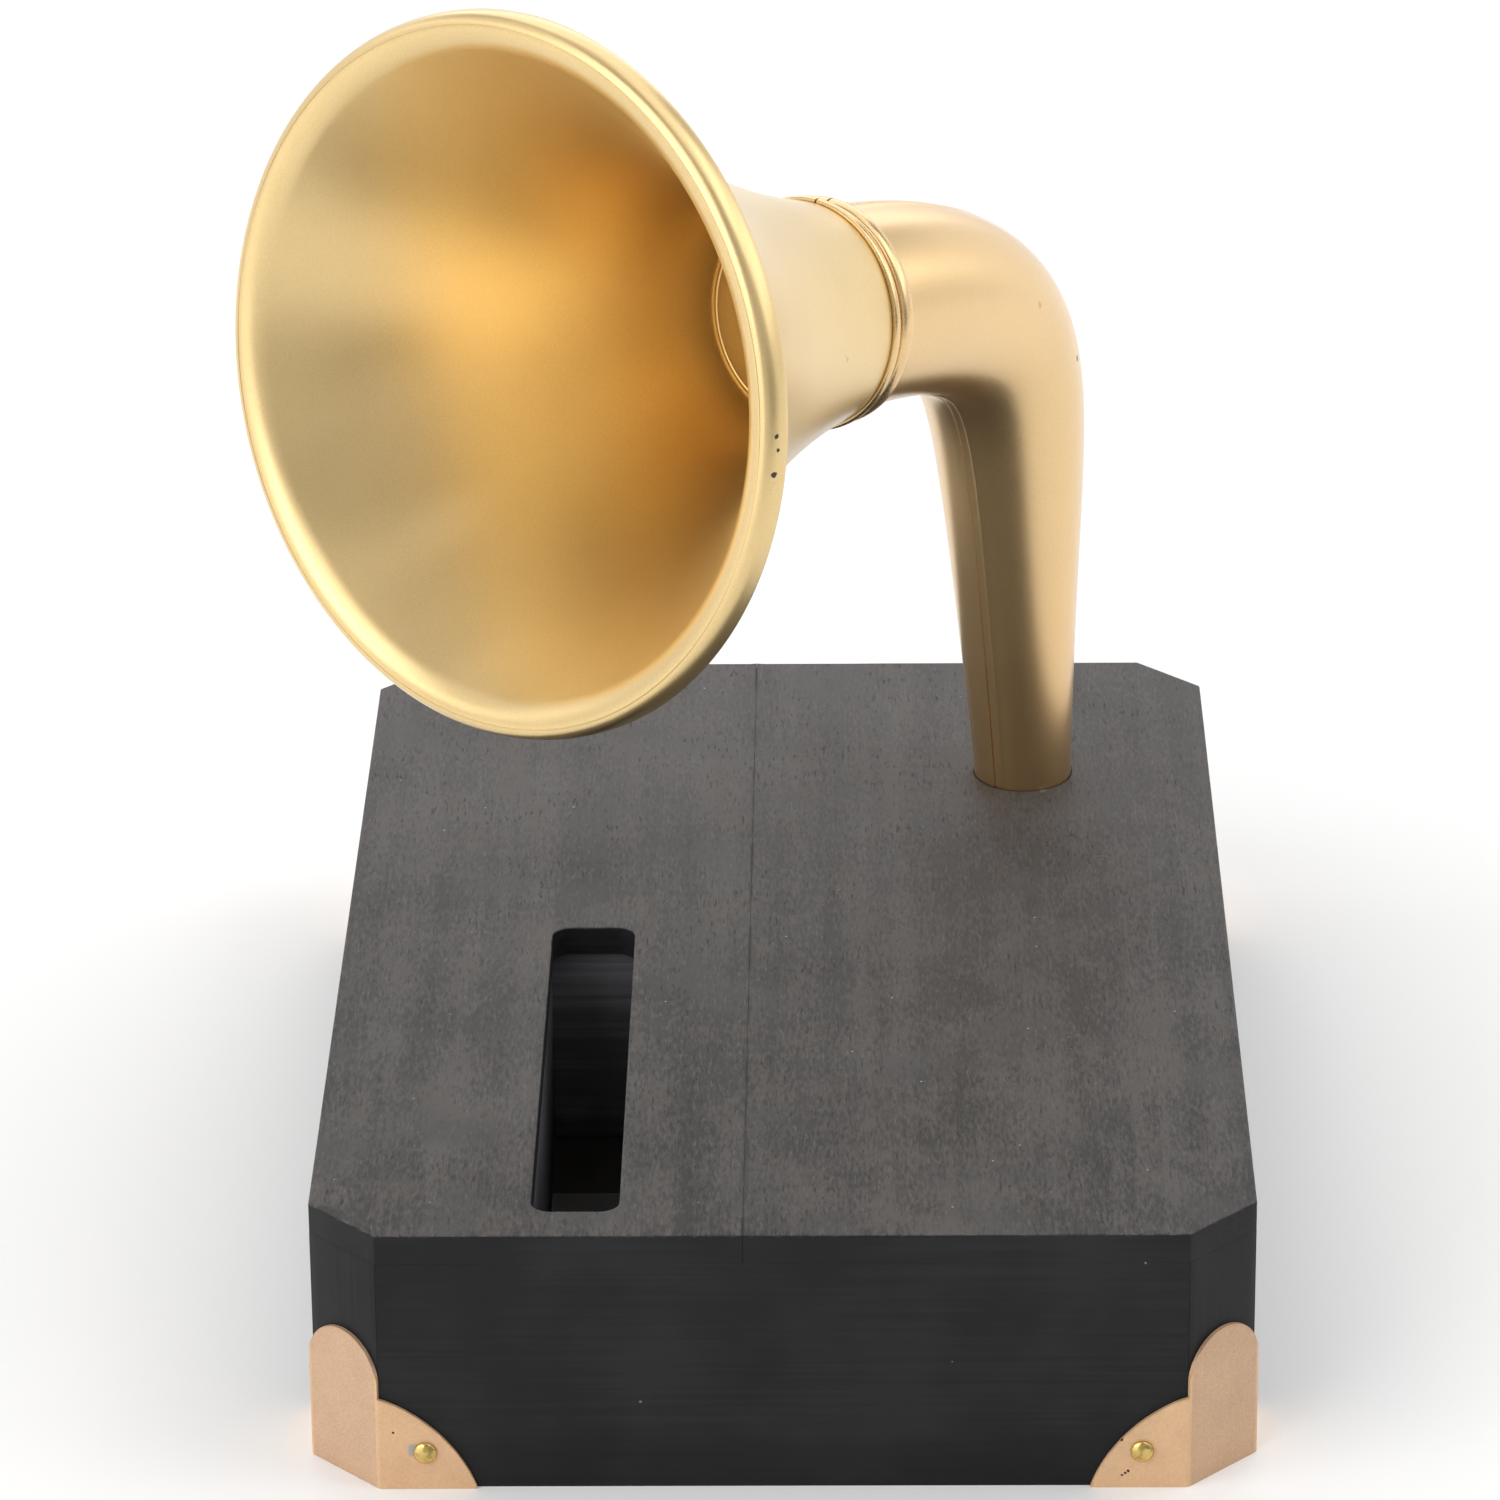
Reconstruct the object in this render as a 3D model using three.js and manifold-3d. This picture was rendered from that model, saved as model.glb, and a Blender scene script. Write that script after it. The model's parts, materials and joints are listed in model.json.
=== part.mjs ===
// A gramophone-style passive horn loudspeaker for a phone. A hollow black-stained wooden box has a phone
// slot in its top and metal brackets on its corners. A gold horn stands in a round hole and turns in it.
// Millimetres, +Z up. The origin is the centre of the box's underside, and the box's front faces -Y.

import * as THREE from "three";
import { mergeVertices } from "three/addons/utils/BufferGeometryUtils.js";
import Module from "manifold-3d";

// ---------------------------------------------------------------- driving dimensions

const BOX = { width: 120, depth: 180, height: 36, chamfer: 8.8 };
const TOP_THICKNESS = 4;
const BOTTOM_THICKNESS = 3.5;
const WALL_THICKNESS = 6;
const GLUE_GAP = 0.1;
const GLUE_LINE_X = -4.9;

const SLOT = { left: -31.8, right: -20.6, front: -83.4, back: -0.3, cornerRadius: 1.6 };
const CHEEK_THICKNESS = 4;
const SOUND_PORT_LENGTH = 20;
const PHONE_PAD_THICKNESS = 2;

const POST_SIDE = 14;
const CLEAT = { width: 8, height: 8, halfLength: 60 };
const SCREW = { headRadius: 2.6, headDepth: 1.6, shankRadius: 1.2, length: 10, clearance: 0.3, spacing: 100 };

const BRACKET = { gap: 0.1, thickness: 0.5, wingLength: 12.3, wingHeight: 12.9, wingArcRadius: 21.5 };
const BRACKET_ARCH_CENTRE_Z = 14.2;
const NAIL = { fromFold: 5.7, height: 5.3, headRadius: 1.5, headHeight: 0.85, shankRadius: 0.5, length: 4.5 };
const NAIL_HOLE_RADIUS = NAIL.shankRadius + 0.3;

const FOOT = { x: 33.4, y: 51.1, radius: 6.85 };
const HORN_AZIMUTH = THREE.MathUtils.degToRad(40.8);
const SPIGOT_DEPTH = 20;
const BORE_RADIUS = FOOT.radius + 0.3;
const SOCKET = { side: 30, ledgeRadius: 5.5, ledgeHeight: 2, feltThickness: 1.5 };

const LEG_LEAN = 0.0621;
const LEG_STRAIGHT_HEIGHT = 35.3;
const BEND_HANDLES = { leg: 0.81, arm: 0.98 };
const ELBOW_RADII = [FOOT.radius, 8.5, 13.0, 13.95];
const ELBOW_WALL = 1.5;
const SEAM_GAP = 0.3;
const ELBOW_END_AT = 42.6;

const AXIS_TILT = THREE.MathUtils.degToRad(8.1);
const AXIS_HEIGHT = 76.5;
const COLLAR = { back: 41.8, front: 47, innerRadius: 14.35, gap: 0.15 };
const COLLAR_RIDGE = { radius: 15.9, width: 1.3, rounding: 0.3 };
const COLLAR_BEAD = { radius: 15.5, roundness: 0.6, grooveWidth: 0.4, grooveDepth: 0.4 };
const BELL = { neckAt: 44.2, neckRadius: 14.8, rimAt: 105.5, rimRadius: 43.2, neckSlope: 0.16, wall: 1.7 };
const BELL_STARTS_AT = 46;
const LIP = { radius: 47.6, front: 108.7, crestRadius: 45.2 };
const THROAT = { back: 36, front: 49.5, innerRadius: 10.9, outerRadius: 11.9, lipRadius: 13.85 };

const BELL_SEGMENTS = 64;
const RING_SEGMENTS = 48;
const BORE_SEGMENTS = 32;
const ARC_DIVISIONS = 8;

// ---------------------------------------------------------------- materials

const finish = (color, roughness, metalness) => ({ color, roughness, metalness });
const BLACK_WOOD = finish(0x3a3a3c, 0.75, 0);
const RAW_WOOD = finish(0xb08d62, 0.85, 0);
const GOLD_PAINT = finish(0xd2a35c, 0.38, 0.85);
const COPPER_PAINT = finish(0xc8a078, 0.6, 0.5);
const BRASS = finish(0xd8b04c, 0.25, 1);
const STEEL = finish(0x8d9094, 0.4, 1);
const FELT = finish(0x1c1c1e, 1, 0);

// ---------------------------------------------------------------- helpers

const wasm = await Module();
wasm.setup();

/** A closed three.js geometry as a manifold solid. */
function toSolid(geometry) {
  const bare = geometry.clone();
  bare.deleteAttribute("normal");
  bare.deleteAttribute("uv");
  const merged = mergeVertices(bare, 1e-5);
  const vertProperties = new Float32Array(merged.attributes.position.array);
  const triVerts = new Uint32Array(merged.index.array);
  return new wasm.Manifold(new wasm.Mesh({ numProp: 3, vertProperties, triVerts }));
}

/** A manifold solid back as a three.js geometry. */
function toGeometry(solid) {
  const mesh = solid.getMesh();
  const geometry = new THREE.BufferGeometry();
  geometry.setAttribute("position", new THREE.BufferAttribute(mesh.vertProperties, 3));
  geometry.setIndex(new THREE.BufferAttribute(mesh.triVerts, 1));
  return geometry;
}

/** A named mesh with a material of its own. */
function piece(name, geometry, look) {
  const mesh = new THREE.Mesh(geometry, new THREE.MeshStandardMaterial(look));
  mesh.name = name;
  return mesh;
}

/** A closed counter-clockwise outline through points, with circular holes given as [x, y, radius]. */
function outline(points, roundHoles = []) {
  const corners = points.map(([x, y]) => new THREE.Vector2(x, y));
  if (THREE.ShapeUtils.isClockWise(corners)) corners.reverse();
  const shape = new THREE.Shape(corners);
  for (const [x, y, radius] of roundHoles) {
    shape.holes.push(new THREE.Path().absarc(x, y, radius, 0, 2 * Math.PI, true));
  }
  return shape;
}

/** A shape in the XY plane, extruded from one height to another. */
function slab(shape, bottom, top, curveSegments = ARC_DIVISIONS) {
  const geometry = new THREE.ExtrudeGeometry(shape, {
    depth: top - bottom,
    bevelEnabled: false,
    curveSegments,
  });
  return geometry.translate(0, 0, bottom);
}

/** A box between two corners. */
function block([x0, y0, z0], [x1, y1, z1]) {
  const geometry = new THREE.BoxGeometry(x1 - x0, y1 - y0, z1 - z0);
  return geometry.translate((x0 + x1) / 2, (y0 + y1) / 2, (z0 + z1) / 2);
}

/** A ring, or a body that starts and ends on the axis, turned about Z from [radius, height] points. */
function turned(profile, segments) {
  const points = profile.map(([radius, height]) => new THREE.Vector2(radius, height));
  if (THREE.ShapeUtils.isClockWise(points)) points.reverse();
  const onAxis = points[0].x === 0 && points.at(-1).x === 0;
  if (!onAxis) points.push(points[0].clone());
  return new THREE.LatheGeometry(points, segments).rotateX(Math.PI / 2);
}

// ---------------------------------------------------------------- wooden box

const halfWidth = BOX.width / 2;
const halfDepth = BOX.depth / 2;
const foldX = halfWidth - BOX.chamfer;
const foldY = halfDepth - BOX.chamfer;
const floorTop = BOTTOM_THICKNESS + GLUE_GAP;
const frameTop = BOX.height - TOP_THICKNESS - GLUE_GAP;
const insideX = halfWidth - WALL_THICKNESS - GLUE_GAP;
const insideY = halfDepth - WALL_THICKNESS - GLUE_GAP;
const screwX = insideX - CLEAT.width / 2;
const endNailHoles = [-1, 1].map((side) => [side * (foldX - NAIL.fromFold), NAIL.height, NAIL_HOLE_RADIUS]);
const CORNERS = [
  { corner: "front_left", sx: -1, sy: -1 },
  { corner: "front_right", sx: 1, sy: -1 },
  { corner: "rear_left", sx: -1, sy: 1 },
  { corner: "rear_right", sx: 1, sy: 1 },
];

/** The two edge-glued boards of the top. The left one holds the phone slot, the right one the horn's hole. */
function topBoards() {
  const left = GLUE_LINE_X - GLUE_GAP / 2;
  const right = GLUE_LINE_X + GLUE_GAP / 2;
  const leftBoard = outline([
    [left, -halfDepth],
    [left, halfDepth],
    [-foldX, halfDepth],
    [-halfWidth, foldY],
    [-halfWidth, -foldY],
    [-foldX, -halfDepth],
  ]);
  leftBoard.holes.push(slotPath());
  const rightBoard = outline(
    [
      [right, -halfDepth],
      [foldX, -halfDepth],
      [halfWidth, -foldY],
      [halfWidth, foldY],
      [foldX, halfDepth],
      [right, halfDepth],
    ],
    [[FOOT.x, FOOT.y, BORE_RADIUS]],
  );
  const underside = BOX.height - TOP_THICKNESS;
  return [
    piece("top_board_left", slab(leftBoard, underside, BOX.height), BLACK_WOOD),
    piece("top_board_right", slab(rightBoard, underside, BOX.height, BORE_SEGMENTS / 2), BLACK_WOOD),
  ];
}

/** The phone slot: a long rectangle with rounded corners. */
function slotPath() {
  const { left, right, front, back, cornerRadius: r } = SLOT;
  const path = new THREE.Path();
  path.absarc(left + r, front + r, r, -Math.PI / 2, Math.PI, true);
  path.absarc(left + r, back - r, r, Math.PI, Math.PI / 2, true);
  path.absarc(right - r, back - r, r, Math.PI / 2, 0, true);
  path.absarc(right - r, front + r, r, 0, -Math.PI / 2, true);
  path.closePath();
  return path;
}

/** A wall panel: upright, centred on the middle of its length, its outer face on local y = 0, facing -Y. */
function wallPanel(name, halfLength, turn, distance, nailHoles = []) {
  const end = halfLength - GLUE_GAP / 2;
  const face = outline(
    [
      [-end, 0],
      [end, 0],
      [end, frameTop],
      [-end, frameTop],
    ],
    nailHoles,
  );
  const geometry = slab(face, -WALL_THICKNESS, 0, 4).rotateX(Math.PI / 2);
  const panel = piece(name, geometry, BLACK_WOOD);
  panel.rotation.z = turn;
  panel.position.set(Math.sin(turn) * distance, -Math.cos(turn) * distance, 0);
  return panel;
}

/** A glue block behind each chamfer; its outer face is the chamfer itself. */
function cornerPost(corner, sx, sy) {
  const points = [
    [foldX + GLUE_GAP, halfDepth - GLUE_GAP],
    [halfWidth - GLUE_GAP, foldY + GLUE_GAP],
    [insideX, foldY + GLUE_GAP],
    [insideX, insideY - POST_SIDE],
    [insideX - POST_SIDE, insideY - POST_SIDE],
    [insideX - POST_SIDE, insideY],
    [foldX + GLUE_GAP, insideY],
  ].map(([x, y]) => [sx * x, sy * y]);
  return piece(`corner_post_${corner}`, slab(outline(points), 0, frameTop), BLACK_WOOD);
}

/** The bottom board, let in between the walls, notched round the posts and drilled for its screws. */
function bottomBoard() {
  const notchX = insideX - POST_SIDE - GLUE_GAP;
  const notchY = insideY - POST_SIDE - GLUE_GAP;
  const rearRight = [
    [insideX, notchY],
    [notchX, notchY],
    [notchX, insideY],
  ];
  const rearLeft = rearRight.map(([x, y]) => [-x, y]).reverse();
  const frontLeft = rearRight.map(([x, y]) => [-x, -y]);
  const frontRight = rearLeft.map(([x, y]) => [-x, -y]);
  const points = [...rearRight, ...rearLeft, ...frontLeft, ...frontRight];
  let board = toSolid(slab(outline(points), 0, BOTTOM_THICKNESS));
  for (const { sx, sy } of CORNERS) {
    const hole = screwGeometry(SCREW.clearance).translate(sx * screwX, (sy * SCREW.spacing) / 2, 0);
    board = board.subtract(toSolid(hole));
  }
  return piece("bottom_board", toGeometry(board), BLACK_WOOD);
}

/** A strip glued inside each side wall, which the bottom board is screwed to. */
function cleat(name, side) {
  const across = CLEAT.width / 2;
  const shape = outline(
    [
      [-across, -CLEAT.halfLength],
      [across, -CLEAT.halfLength],
      [across, CLEAT.halfLength],
      [-across, CLEAT.halfLength],
    ],
    [-1, 1].map((end) => [0, (end * SCREW.spacing) / 2, SCREW.shankRadius + SCREW.clearance]),
  );
  const strip = piece(name, slab(shape, floorTop, floorTop + CLEAT.height), RAW_WOOD);
  strip.position.x = side * screwX;
  return strip;
}

/** A countersunk screw, head down, its head a little above the underside. Grown by a clearance, its hole. */
function screwGeometry(grow = 0) {
  const past = grow > 0 ? 1 : 0;
  const recess = 0.3;
  const head = SCREW.headRadius + grow;
  const shank = SCREW.shankRadius + grow;
  return turned(
    [
      [0, recess - past],
      [head, recess - past],
      [head, recess + 0.3],
      [shank, recess + SCREW.headDepth],
      [shank, SCREW.length + past],
      [0, SCREW.length + past],
    ],
    12,
  );
}

function bottomScrew(corner, sx, sy) {
  const screw = piece(`bottom_screw_${corner}`, screwGeometry(), STEEL);
  screw.position.set(sx * screwX, (sy * SCREW.spacing) / 2, 0);
  return screw;
}

/** The walls under the slot that keep a phone upright, and the felt it stands on. */
function phoneWell() {
  const gap = 0.3;
  const wellFront = -halfDepth + WALL_THICKNESS + gap;
  const wellBack = SLOT.back + gap;
  const leftFace = SLOT.left - gap;
  const rightFace = SLOT.right + gap;
  const portStart = wellBack - SOUND_PORT_LENGTH;
  const leftCheek = block(
    [leftFace - CHEEK_THICKNESS, wellFront, floorTop],
    [leftFace, wellBack, frameTop],
  );
  const rightCheek = block(
    [rightFace, wellFront, floorTop],
    [rightFace + CHEEK_THICKNESS, portStart, frameTop],
  );
  const backStop = block(
    [leftFace - CHEEK_THICKNESS, wellBack + gap, floorTop],
    [rightFace + CHEEK_THICKNESS, wellBack + gap + CHEEK_THICKNESS, frameTop],
  );
  const pad = block(
    [SLOT.left, wellFront, floorTop],
    [SLOT.right, portStart, floorTop + PHONE_PAD_THICKNESS],
  );
  return [
    piece("well_cheek_left", leftCheek, BLACK_WOOD),
    piece("well_cheek_right", rightCheek, BLACK_WOOD),
    piece("well_back_stop", backStop, BLACK_WOOD),
    piece("phone_pad", pad, FELT),
  ];
}

/** The block under the top that holds the horn's foot, with a ledge and a felt washer at its bottom. */
function hornSocket() {
  const bore = new THREE.Path().absarc(FOOT.x, FOOT.y, BORE_RADIUS, 0, 2 * Math.PI, true);
  const half = SOCKET.side / 2;
  const square = (hole) => {
    const shape = outline([
      [FOOT.x - half, FOOT.y - half],
      [FOOT.x + half, FOOT.y - half],
      [FOOT.x + half, FOOT.y + half],
      [FOOT.x - half, FOOT.y + half],
    ]);
    shape.holes.push(hole);
    return shape;
  };
  const footEnd = BOX.height - SPIGOT_DEPTH;
  const ledgeTop = footEnd - SOCKET.feltThickness - 2 * GLUE_GAP;
  const solid = toSolid(slab(square(bore), ledgeTop - SOCKET.ledgeHeight, frameTop, BORE_SEGMENTS / 2));
  const ledge = turned(
    [
      [SOCKET.ledgeRadius, ledgeTop - SOCKET.ledgeHeight],
      [BORE_RADIUS + 1, ledgeTop - SOCKET.ledgeHeight],
      [BORE_RADIUS + 1, ledgeTop],
      [SOCKET.ledgeRadius, ledgeTop],
    ],
    BORE_SEGMENTS,
  ).translate(FOOT.x, FOOT.y, 0);
  const felt = turned(
    [
      [SOCKET.ledgeRadius, ledgeTop + GLUE_GAP],
      [BORE_RADIUS - 0.3, ledgeTop + GLUE_GAP],
      [BORE_RADIUS - 0.3, footEnd - GLUE_GAP],
      [SOCKET.ledgeRadius, footEnd - GLUE_GAP],
    ],
    BORE_SEGMENTS,
  ).translate(FOOT.x, FOOT.y, 0);
  return [
    piece("horn_socket", toGeometry(solid.add(toSolid(ledge))), RAW_WOOD),
    piece("socket_felt", felt, FELT),
  ];
}

// ---------------------------------------------------------------- corner brackets and nails

const bracketInner = BRACKET.gap;
const bracketOuter = BRACKET.gap + BRACKET.thickness;
const halfChamfer = BOX.chamfer * Math.SQRT1_2;
const chamferOffset = (halfWidth + halfDepth - BOX.chamfer) * Math.SQRT1_2;

/** Points of the bracket's plan, a given distance outside the wood: wing end, fold, fold, wing end. */
function bracketPath(distance) {
  const fold = [halfChamfer + distance * Math.tan(Math.PI / 8), -distance];
  const reach = BRACKET.wingLength + 1;
  const wingEnd = [halfChamfer + (reach + distance) * Math.SQRT1_2, (reach - distance) * Math.SQRT1_2];
  return [[-wingEnd[0], wingEnd[1]], [-fold[0], fold[1]], fold, wingEnd];
}

/** One wing's outline in its own plane: from the fold out to a tip at the bottom, under a flat arc. */
function wingProfile() {
  const { wingLength: v, wingHeight: z, wingArcRadius: radius } = BRACKET;
  const half = Math.hypot(v, z) / 2;
  const back = Math.sqrt(radius * radius - half * half);
  const centre = [v / 2 - (back * z) / (2 * half), z / 2 - (back * v) / (2 * half)];
  const shape = new THREE.Shape();
  shape.moveTo(0, 0);
  shape.lineTo(v, 0);
  const start = Math.atan2(-centre[1], v - centre[0]);
  const end = Math.atan2(z - centre[1], -centre[0]);
  shape.absarc(centre[0], centre[1], radius, start, end, false);
  shape.lineTo(0, 0);
  return shape;
}

/** The chamfer panel's outline: upright sides under a round arch. */
function archProfile() {
  const half = halfChamfer + bracketOuter * Math.tan(Math.PI / 8);
  const shape = new THREE.Shape();
  shape.moveTo(-half, 0);
  shape.lineTo(half, 0);
  shape.absarc(0, BRACKET_ARCH_CENTRE_Z, half, 0, Math.PI, false);
  shape.lineTo(-half, 0);
  return shape;
}

/** A folded sheet bracket: an arched panel on the chamfer and a wing on each face, one with a nail hole. */
function bracketGeometry(nailSide) {
  const sheet = outline([...bracketPath(bracketInner), ...bracketPath(bracketOuter).reverse()]);
  const shell = toSolid(slab(sheet, 0, BRACKET_ARCH_CENTRE_Z + 2 * halfChamfer));
  const upright = (shape) => slab(shape, -2, 2).rotateX(Math.PI / 2);
  const onWing = (geometry, side) => {
    const turn = side > 0 ? Math.PI / 4 : Math.PI - Math.PI / 4;
    return toSolid(geometry.rotateZ(turn).translate(side * halfChamfer, 0, 0));
  };
  let keep = toSolid(upright(archProfile()));
  for (const side of [1, -1]) keep = keep.add(onWing(upright(wingProfile()), side));
  const hole = new THREE.CylinderGeometry(NAIL_HOLE_RADIUS, NAIL_HOLE_RADIUS, 4, 12);
  const cutter = onWing(hole.translate(NAIL.fromFold, 0, NAIL.height), nailSide);
  return toGeometry(shell.intersect(keep).subtract(cutter));
}

/** A domed brass nail along +Z, its head's underside at z = 0. */
function nailGeometry() {
  const { headRadius: r, headHeight: h } = NAIL;
  const profile = [[0, -NAIL.length], [NAIL.shankRadius, -NAIL.length + 0.8], [NAIL.shankRadius, 0], [r, 0]];
  for (let i = 1; i <= 4; i += 1) {
    const angle = (i / 5) * (Math.PI / 2);
    profile.push([r * Math.cos(angle), h * Math.sin(angle)]);
  }
  profile.push([0, h]);
  return turned(profile, 16);
}

/** The bracket at one corner, and the nail that holds it to the front or rear panel. -Y faces out. */
function cornerFitting(corner, sx, sy) {
  const side = sx * sy;
  const bracket = piece(`corner_bracket_${corner}`, bracketGeometry(side), COPPER_PAINT);
  const nail = piece(`nail_${corner}`, nailGeometry(), BRASS);
  const out = bracketOuter + GLUE_GAP;
  nail.position.set(
    side * (halfChamfer + (NAIL.fromFold + out) * Math.SQRT1_2),
    (NAIL.fromFold - out) * Math.SQRT1_2,
    NAIL.height,
  );
  nail.rotation.order = "ZYX";
  nail.rotation.set(Math.PI / 2, 0, side * (Math.PI / 4));
  const group = new THREE.Group();
  group.add(bracket, nail);
  group.position.set(sx * (halfWidth - BOX.chamfer / 2), sy * (halfDepth - BOX.chamfer / 2), 0);
  group.rotation.z = Math.atan2(sx, -sy);
  return group;
}

// ---------------------------------------------------------------- horn

/** Centre line from the foot's end to the collar, in the swivel plane: X to the mouth, Z up. */
function elbowLine() {
  const footEnd = new THREE.Vector3(0, 0, -SPIGOT_DEPTH);
  const surface = new THREE.Vector3(0, 0, 0);
  const bendStart = new THREE.Vector3(LEG_LEAN * LEG_STRAIGHT_HEIGHT, 0, LEG_STRAIGHT_HEIGHT);
  const cornerHeight = AXIS_HEIGHT / (1 - LEG_LEAN * Math.tan(AXIS_TILT));
  const corner = new THREE.Vector3(LEG_LEAN * cornerHeight, 0, cornerHeight);
  const end = new THREE.Vector3(
    Math.cos(AXIS_TILT) * ELBOW_END_AT,
    0,
    AXIS_HEIGHT + Math.sin(AXIS_TILT) * ELBOW_END_AT,
  );
  const bend = new THREE.CubicBezierCurve3(
    bendStart,
    bendStart.clone().lerp(corner, BEND_HANDLES.leg),
    end.clone().lerp(corner, BEND_HANDLES.arm),
    end,
  );
  return {
    spigot: new THREE.LineCurve3(footEnd, surface),
    leg: new THREE.LineCurve3(surface, bendStart),
    bend,
  };
}

/** Stations along the elbow: centre, tangent and outside radius, from the foot's end to the collar. */
function elbowStations() {
  const { spigot, leg, bend } = elbowLine();
  const legLength = leg.getLength();
  const total = legLength + bend.getLength();
  const radiusAt = (share) => {
    const rest = 1 - share;
    const [a, b, c, d] = ELBOW_RADII;
    return a * rest ** 3 + 3 * b * share * rest ** 2 + 3 * c * share ** 2 * rest + d * share ** 3;
  };
  const stations = [
    { at: spigot.getPointAt(0), along: new THREE.Vector3(0, 0, 1), radius: FOOT.radius },
    { at: spigot.getPointAt(1), along: new THREE.Vector3(0, 0, 1), radius: FOOT.radius },
  ];
  for (let i = 1; i <= 5; i += 1) {
    const share = i / 5;
    const radius = radiusAt((share * legLength) / total);
    stations.push({ at: leg.getPointAt(share), along: leg.getTangentAt(share), radius });
  }
  const bendSteps = 20;
  for (let i = 1; i <= bendSteps; i += 1) {
    const share = i / bendSteps;
    const radius = radiusAt((legLength + share * (total - legLength)) / total);
    stations.push({ at: bend.getPointAt(share), along: bend.getTangentAt(share), radius });
  }
  return stations;
}

/** Half of the hollow elbow, on one side of the swivel plane: a half ring swept along the stations. */
function elbowHalf(name, side) {
  const stations = elbowStations();
  const start = side > 0 ? 0 : Math.PI;
  const innerMark = 0.5;
  const section = new THREE.Shape();
  section.absarc(0, 0, 1, start, start + Math.PI, false);
  section.absarc(0, 0, innerMark, start + Math.PI, start, true);
  section.closePath();
  const steps = stations.length - 1;
  const geometry = new THREE.ExtrudeGeometry(section, {
    depth: steps,
    steps,
    bevelEnabled: false,
    curveSegments: ARC_DIVISIONS,
  });
  const across = new THREE.Vector3(0, 1, 0);
  const position = geometry.attributes.position;
  for (let i = 0; i < position.count; i += 1) {
    const { at, along, radius } = stations[Math.round(position.getZ(i))];
    const up = across.clone().cross(along);
    const angle = Math.atan2(position.getY(i), position.getX(i));
    const isOuter = Math.hypot(position.getX(i), position.getY(i)) > (1 + innerMark) / 2;
    const r = isOuter ? radius : radius - ELBOW_WALL;
    const point = at.clone();
    point.addScaledVector(up, r * Math.cos(angle));
    point.addScaledVector(across, r * Math.sin(angle) + (side * SEAM_GAP) / 2);
    position.setXYZ(i, point.x, point.y, point.z);
  }
  return piece(name, geometry, GOLD_PAINT);
}

/** A profile of [distance along the horn's axis, radius] points, turned about that axis. */
function onHornAxis(name, profile, segments) {
  const geometry = turned(profile.map(([along, radius]) => [radius, along]), segments);
  const mesh = piece(name, geometry.rotateY(Math.PI / 2), GOLD_PAINT);
  mesh.rotation.y = -AXIS_TILT;
  mesh.position.z = AXIS_HEIGHT;
  return mesh;
}

/** The curve of the bell's outside, as radius over distance along the axis. */
function bellCurve() {
  const { neckAt, neckRadius, rimAt, rimRadius, neckSlope } = BELL;
  const length = rimAt - neckAt;
  return new THREE.QuadraticBezierCurve(
    new THREE.Vector2(neckAt, neckRadius),
    new THREE.Vector2(neckAt + length / 2, neckRadius + (neckSlope * length) / 2),
    new THREE.Vector2(rimAt, rimRadius),
  );
}

/** How far along the bell's curve a distance along the axis lies, from 0 at the neck to 1 at the rim. */
function bellShare(distance) {
  return (distance - BELL.neckAt) / (BELL.rimAt - BELL.neckAt);
}

/** The flared bell: a thin shell from the neck to the mouth, with a thick rounded lip. */
function bell() {
  const { rimAt, wall } = BELL;
  const curve = bellCurve();
  const first = bellShare(BELL_STARTS_AT);
  const steps = 14;
  const outside = [];
  const inside = [];
  for (let i = 0; i <= steps; i += 1) {
    const share = first + ((1 - first) * i) / steps;
    const at = curve.getPoint(share);
    const along = curve.getTangent(share);
    outside.push([at.x, at.y]);
    inside.push([at.x + wall * along.y, at.y - wall * along.x]);
  }
  inside[0][0] = BELL_STARTS_AT;
  const lip = [
    [rimAt - 0.3, LIP.radius - 2.2],
    [rimAt - 0.4, LIP.radius - 0.5],
    [rimAt + 0.1, LIP.radius],
    [rimAt + 0.8, LIP.radius],
    [LIP.front - 1.0, LIP.crestRadius + 1.7],
    [LIP.front - 0.2, LIP.crestRadius + 0.8],
    [LIP.front, LIP.crestRadius],
    [LIP.front - 0.15, LIP.crestRadius - 1.0],
    [LIP.front - 0.7, LIP.crestRadius - 2.2],
    [LIP.front - 1.5, LIP.crestRadius - 3.0],
  ];
  inside.pop();
  return onHornAxis("horn_bell", [...outside, ...lip, ...inside.reverse()], BELL_SEGMENTS);
}

/** The ring over the joint of elbow and bell: a wide round bead behind a thin ridge, with a groove between. */
function collarRing() {
  const { back, front, innerRadius, gap } = COLLAR;
  const { radius: ridgeRadius, width, rounding } = COLLAR_RIDGE;
  const { radius: beadRadius, roundness, grooveWidth, grooveDepth } = COLLAR_BEAD;
  const step = BELL_STARTS_AT - gap;
  const clearance = (distance) => bellCurve().getPoint(bellShare(distance)).y + gap;
  const inside = [
    [back, innerRadius],
    [step, innerRadius],
    [step, clearance(BELL_STARTS_AT)],
    [front, clearance(front)],
  ];
  const ridge = [
    [front, ridgeRadius - rounding],
    [front - rounding, ridgeRadius],
    [front - width + rounding, ridgeRadius],
    [front - width, ridgeRadius - rounding],
  ];
  const groove = [front - width - grooveWidth / 2, beadRadius - grooveDepth];
  const beadFront = front - width - grooveWidth;
  const bead = [];
  for (let i = 0; i <= 6; i += 1) {
    const angle = (i / 6) * Math.PI;
    const along = (beadFront + back + (beadFront - back) * Math.cos(angle)) / 2;
    bead.push([along, beadRadius - roundness * (1 - Math.sin(angle))]);
  }
  return onHornAxis("collar_ring", [...inside, ...ridge, groove, ...bead], RING_SEGMENTS);
}

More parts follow.
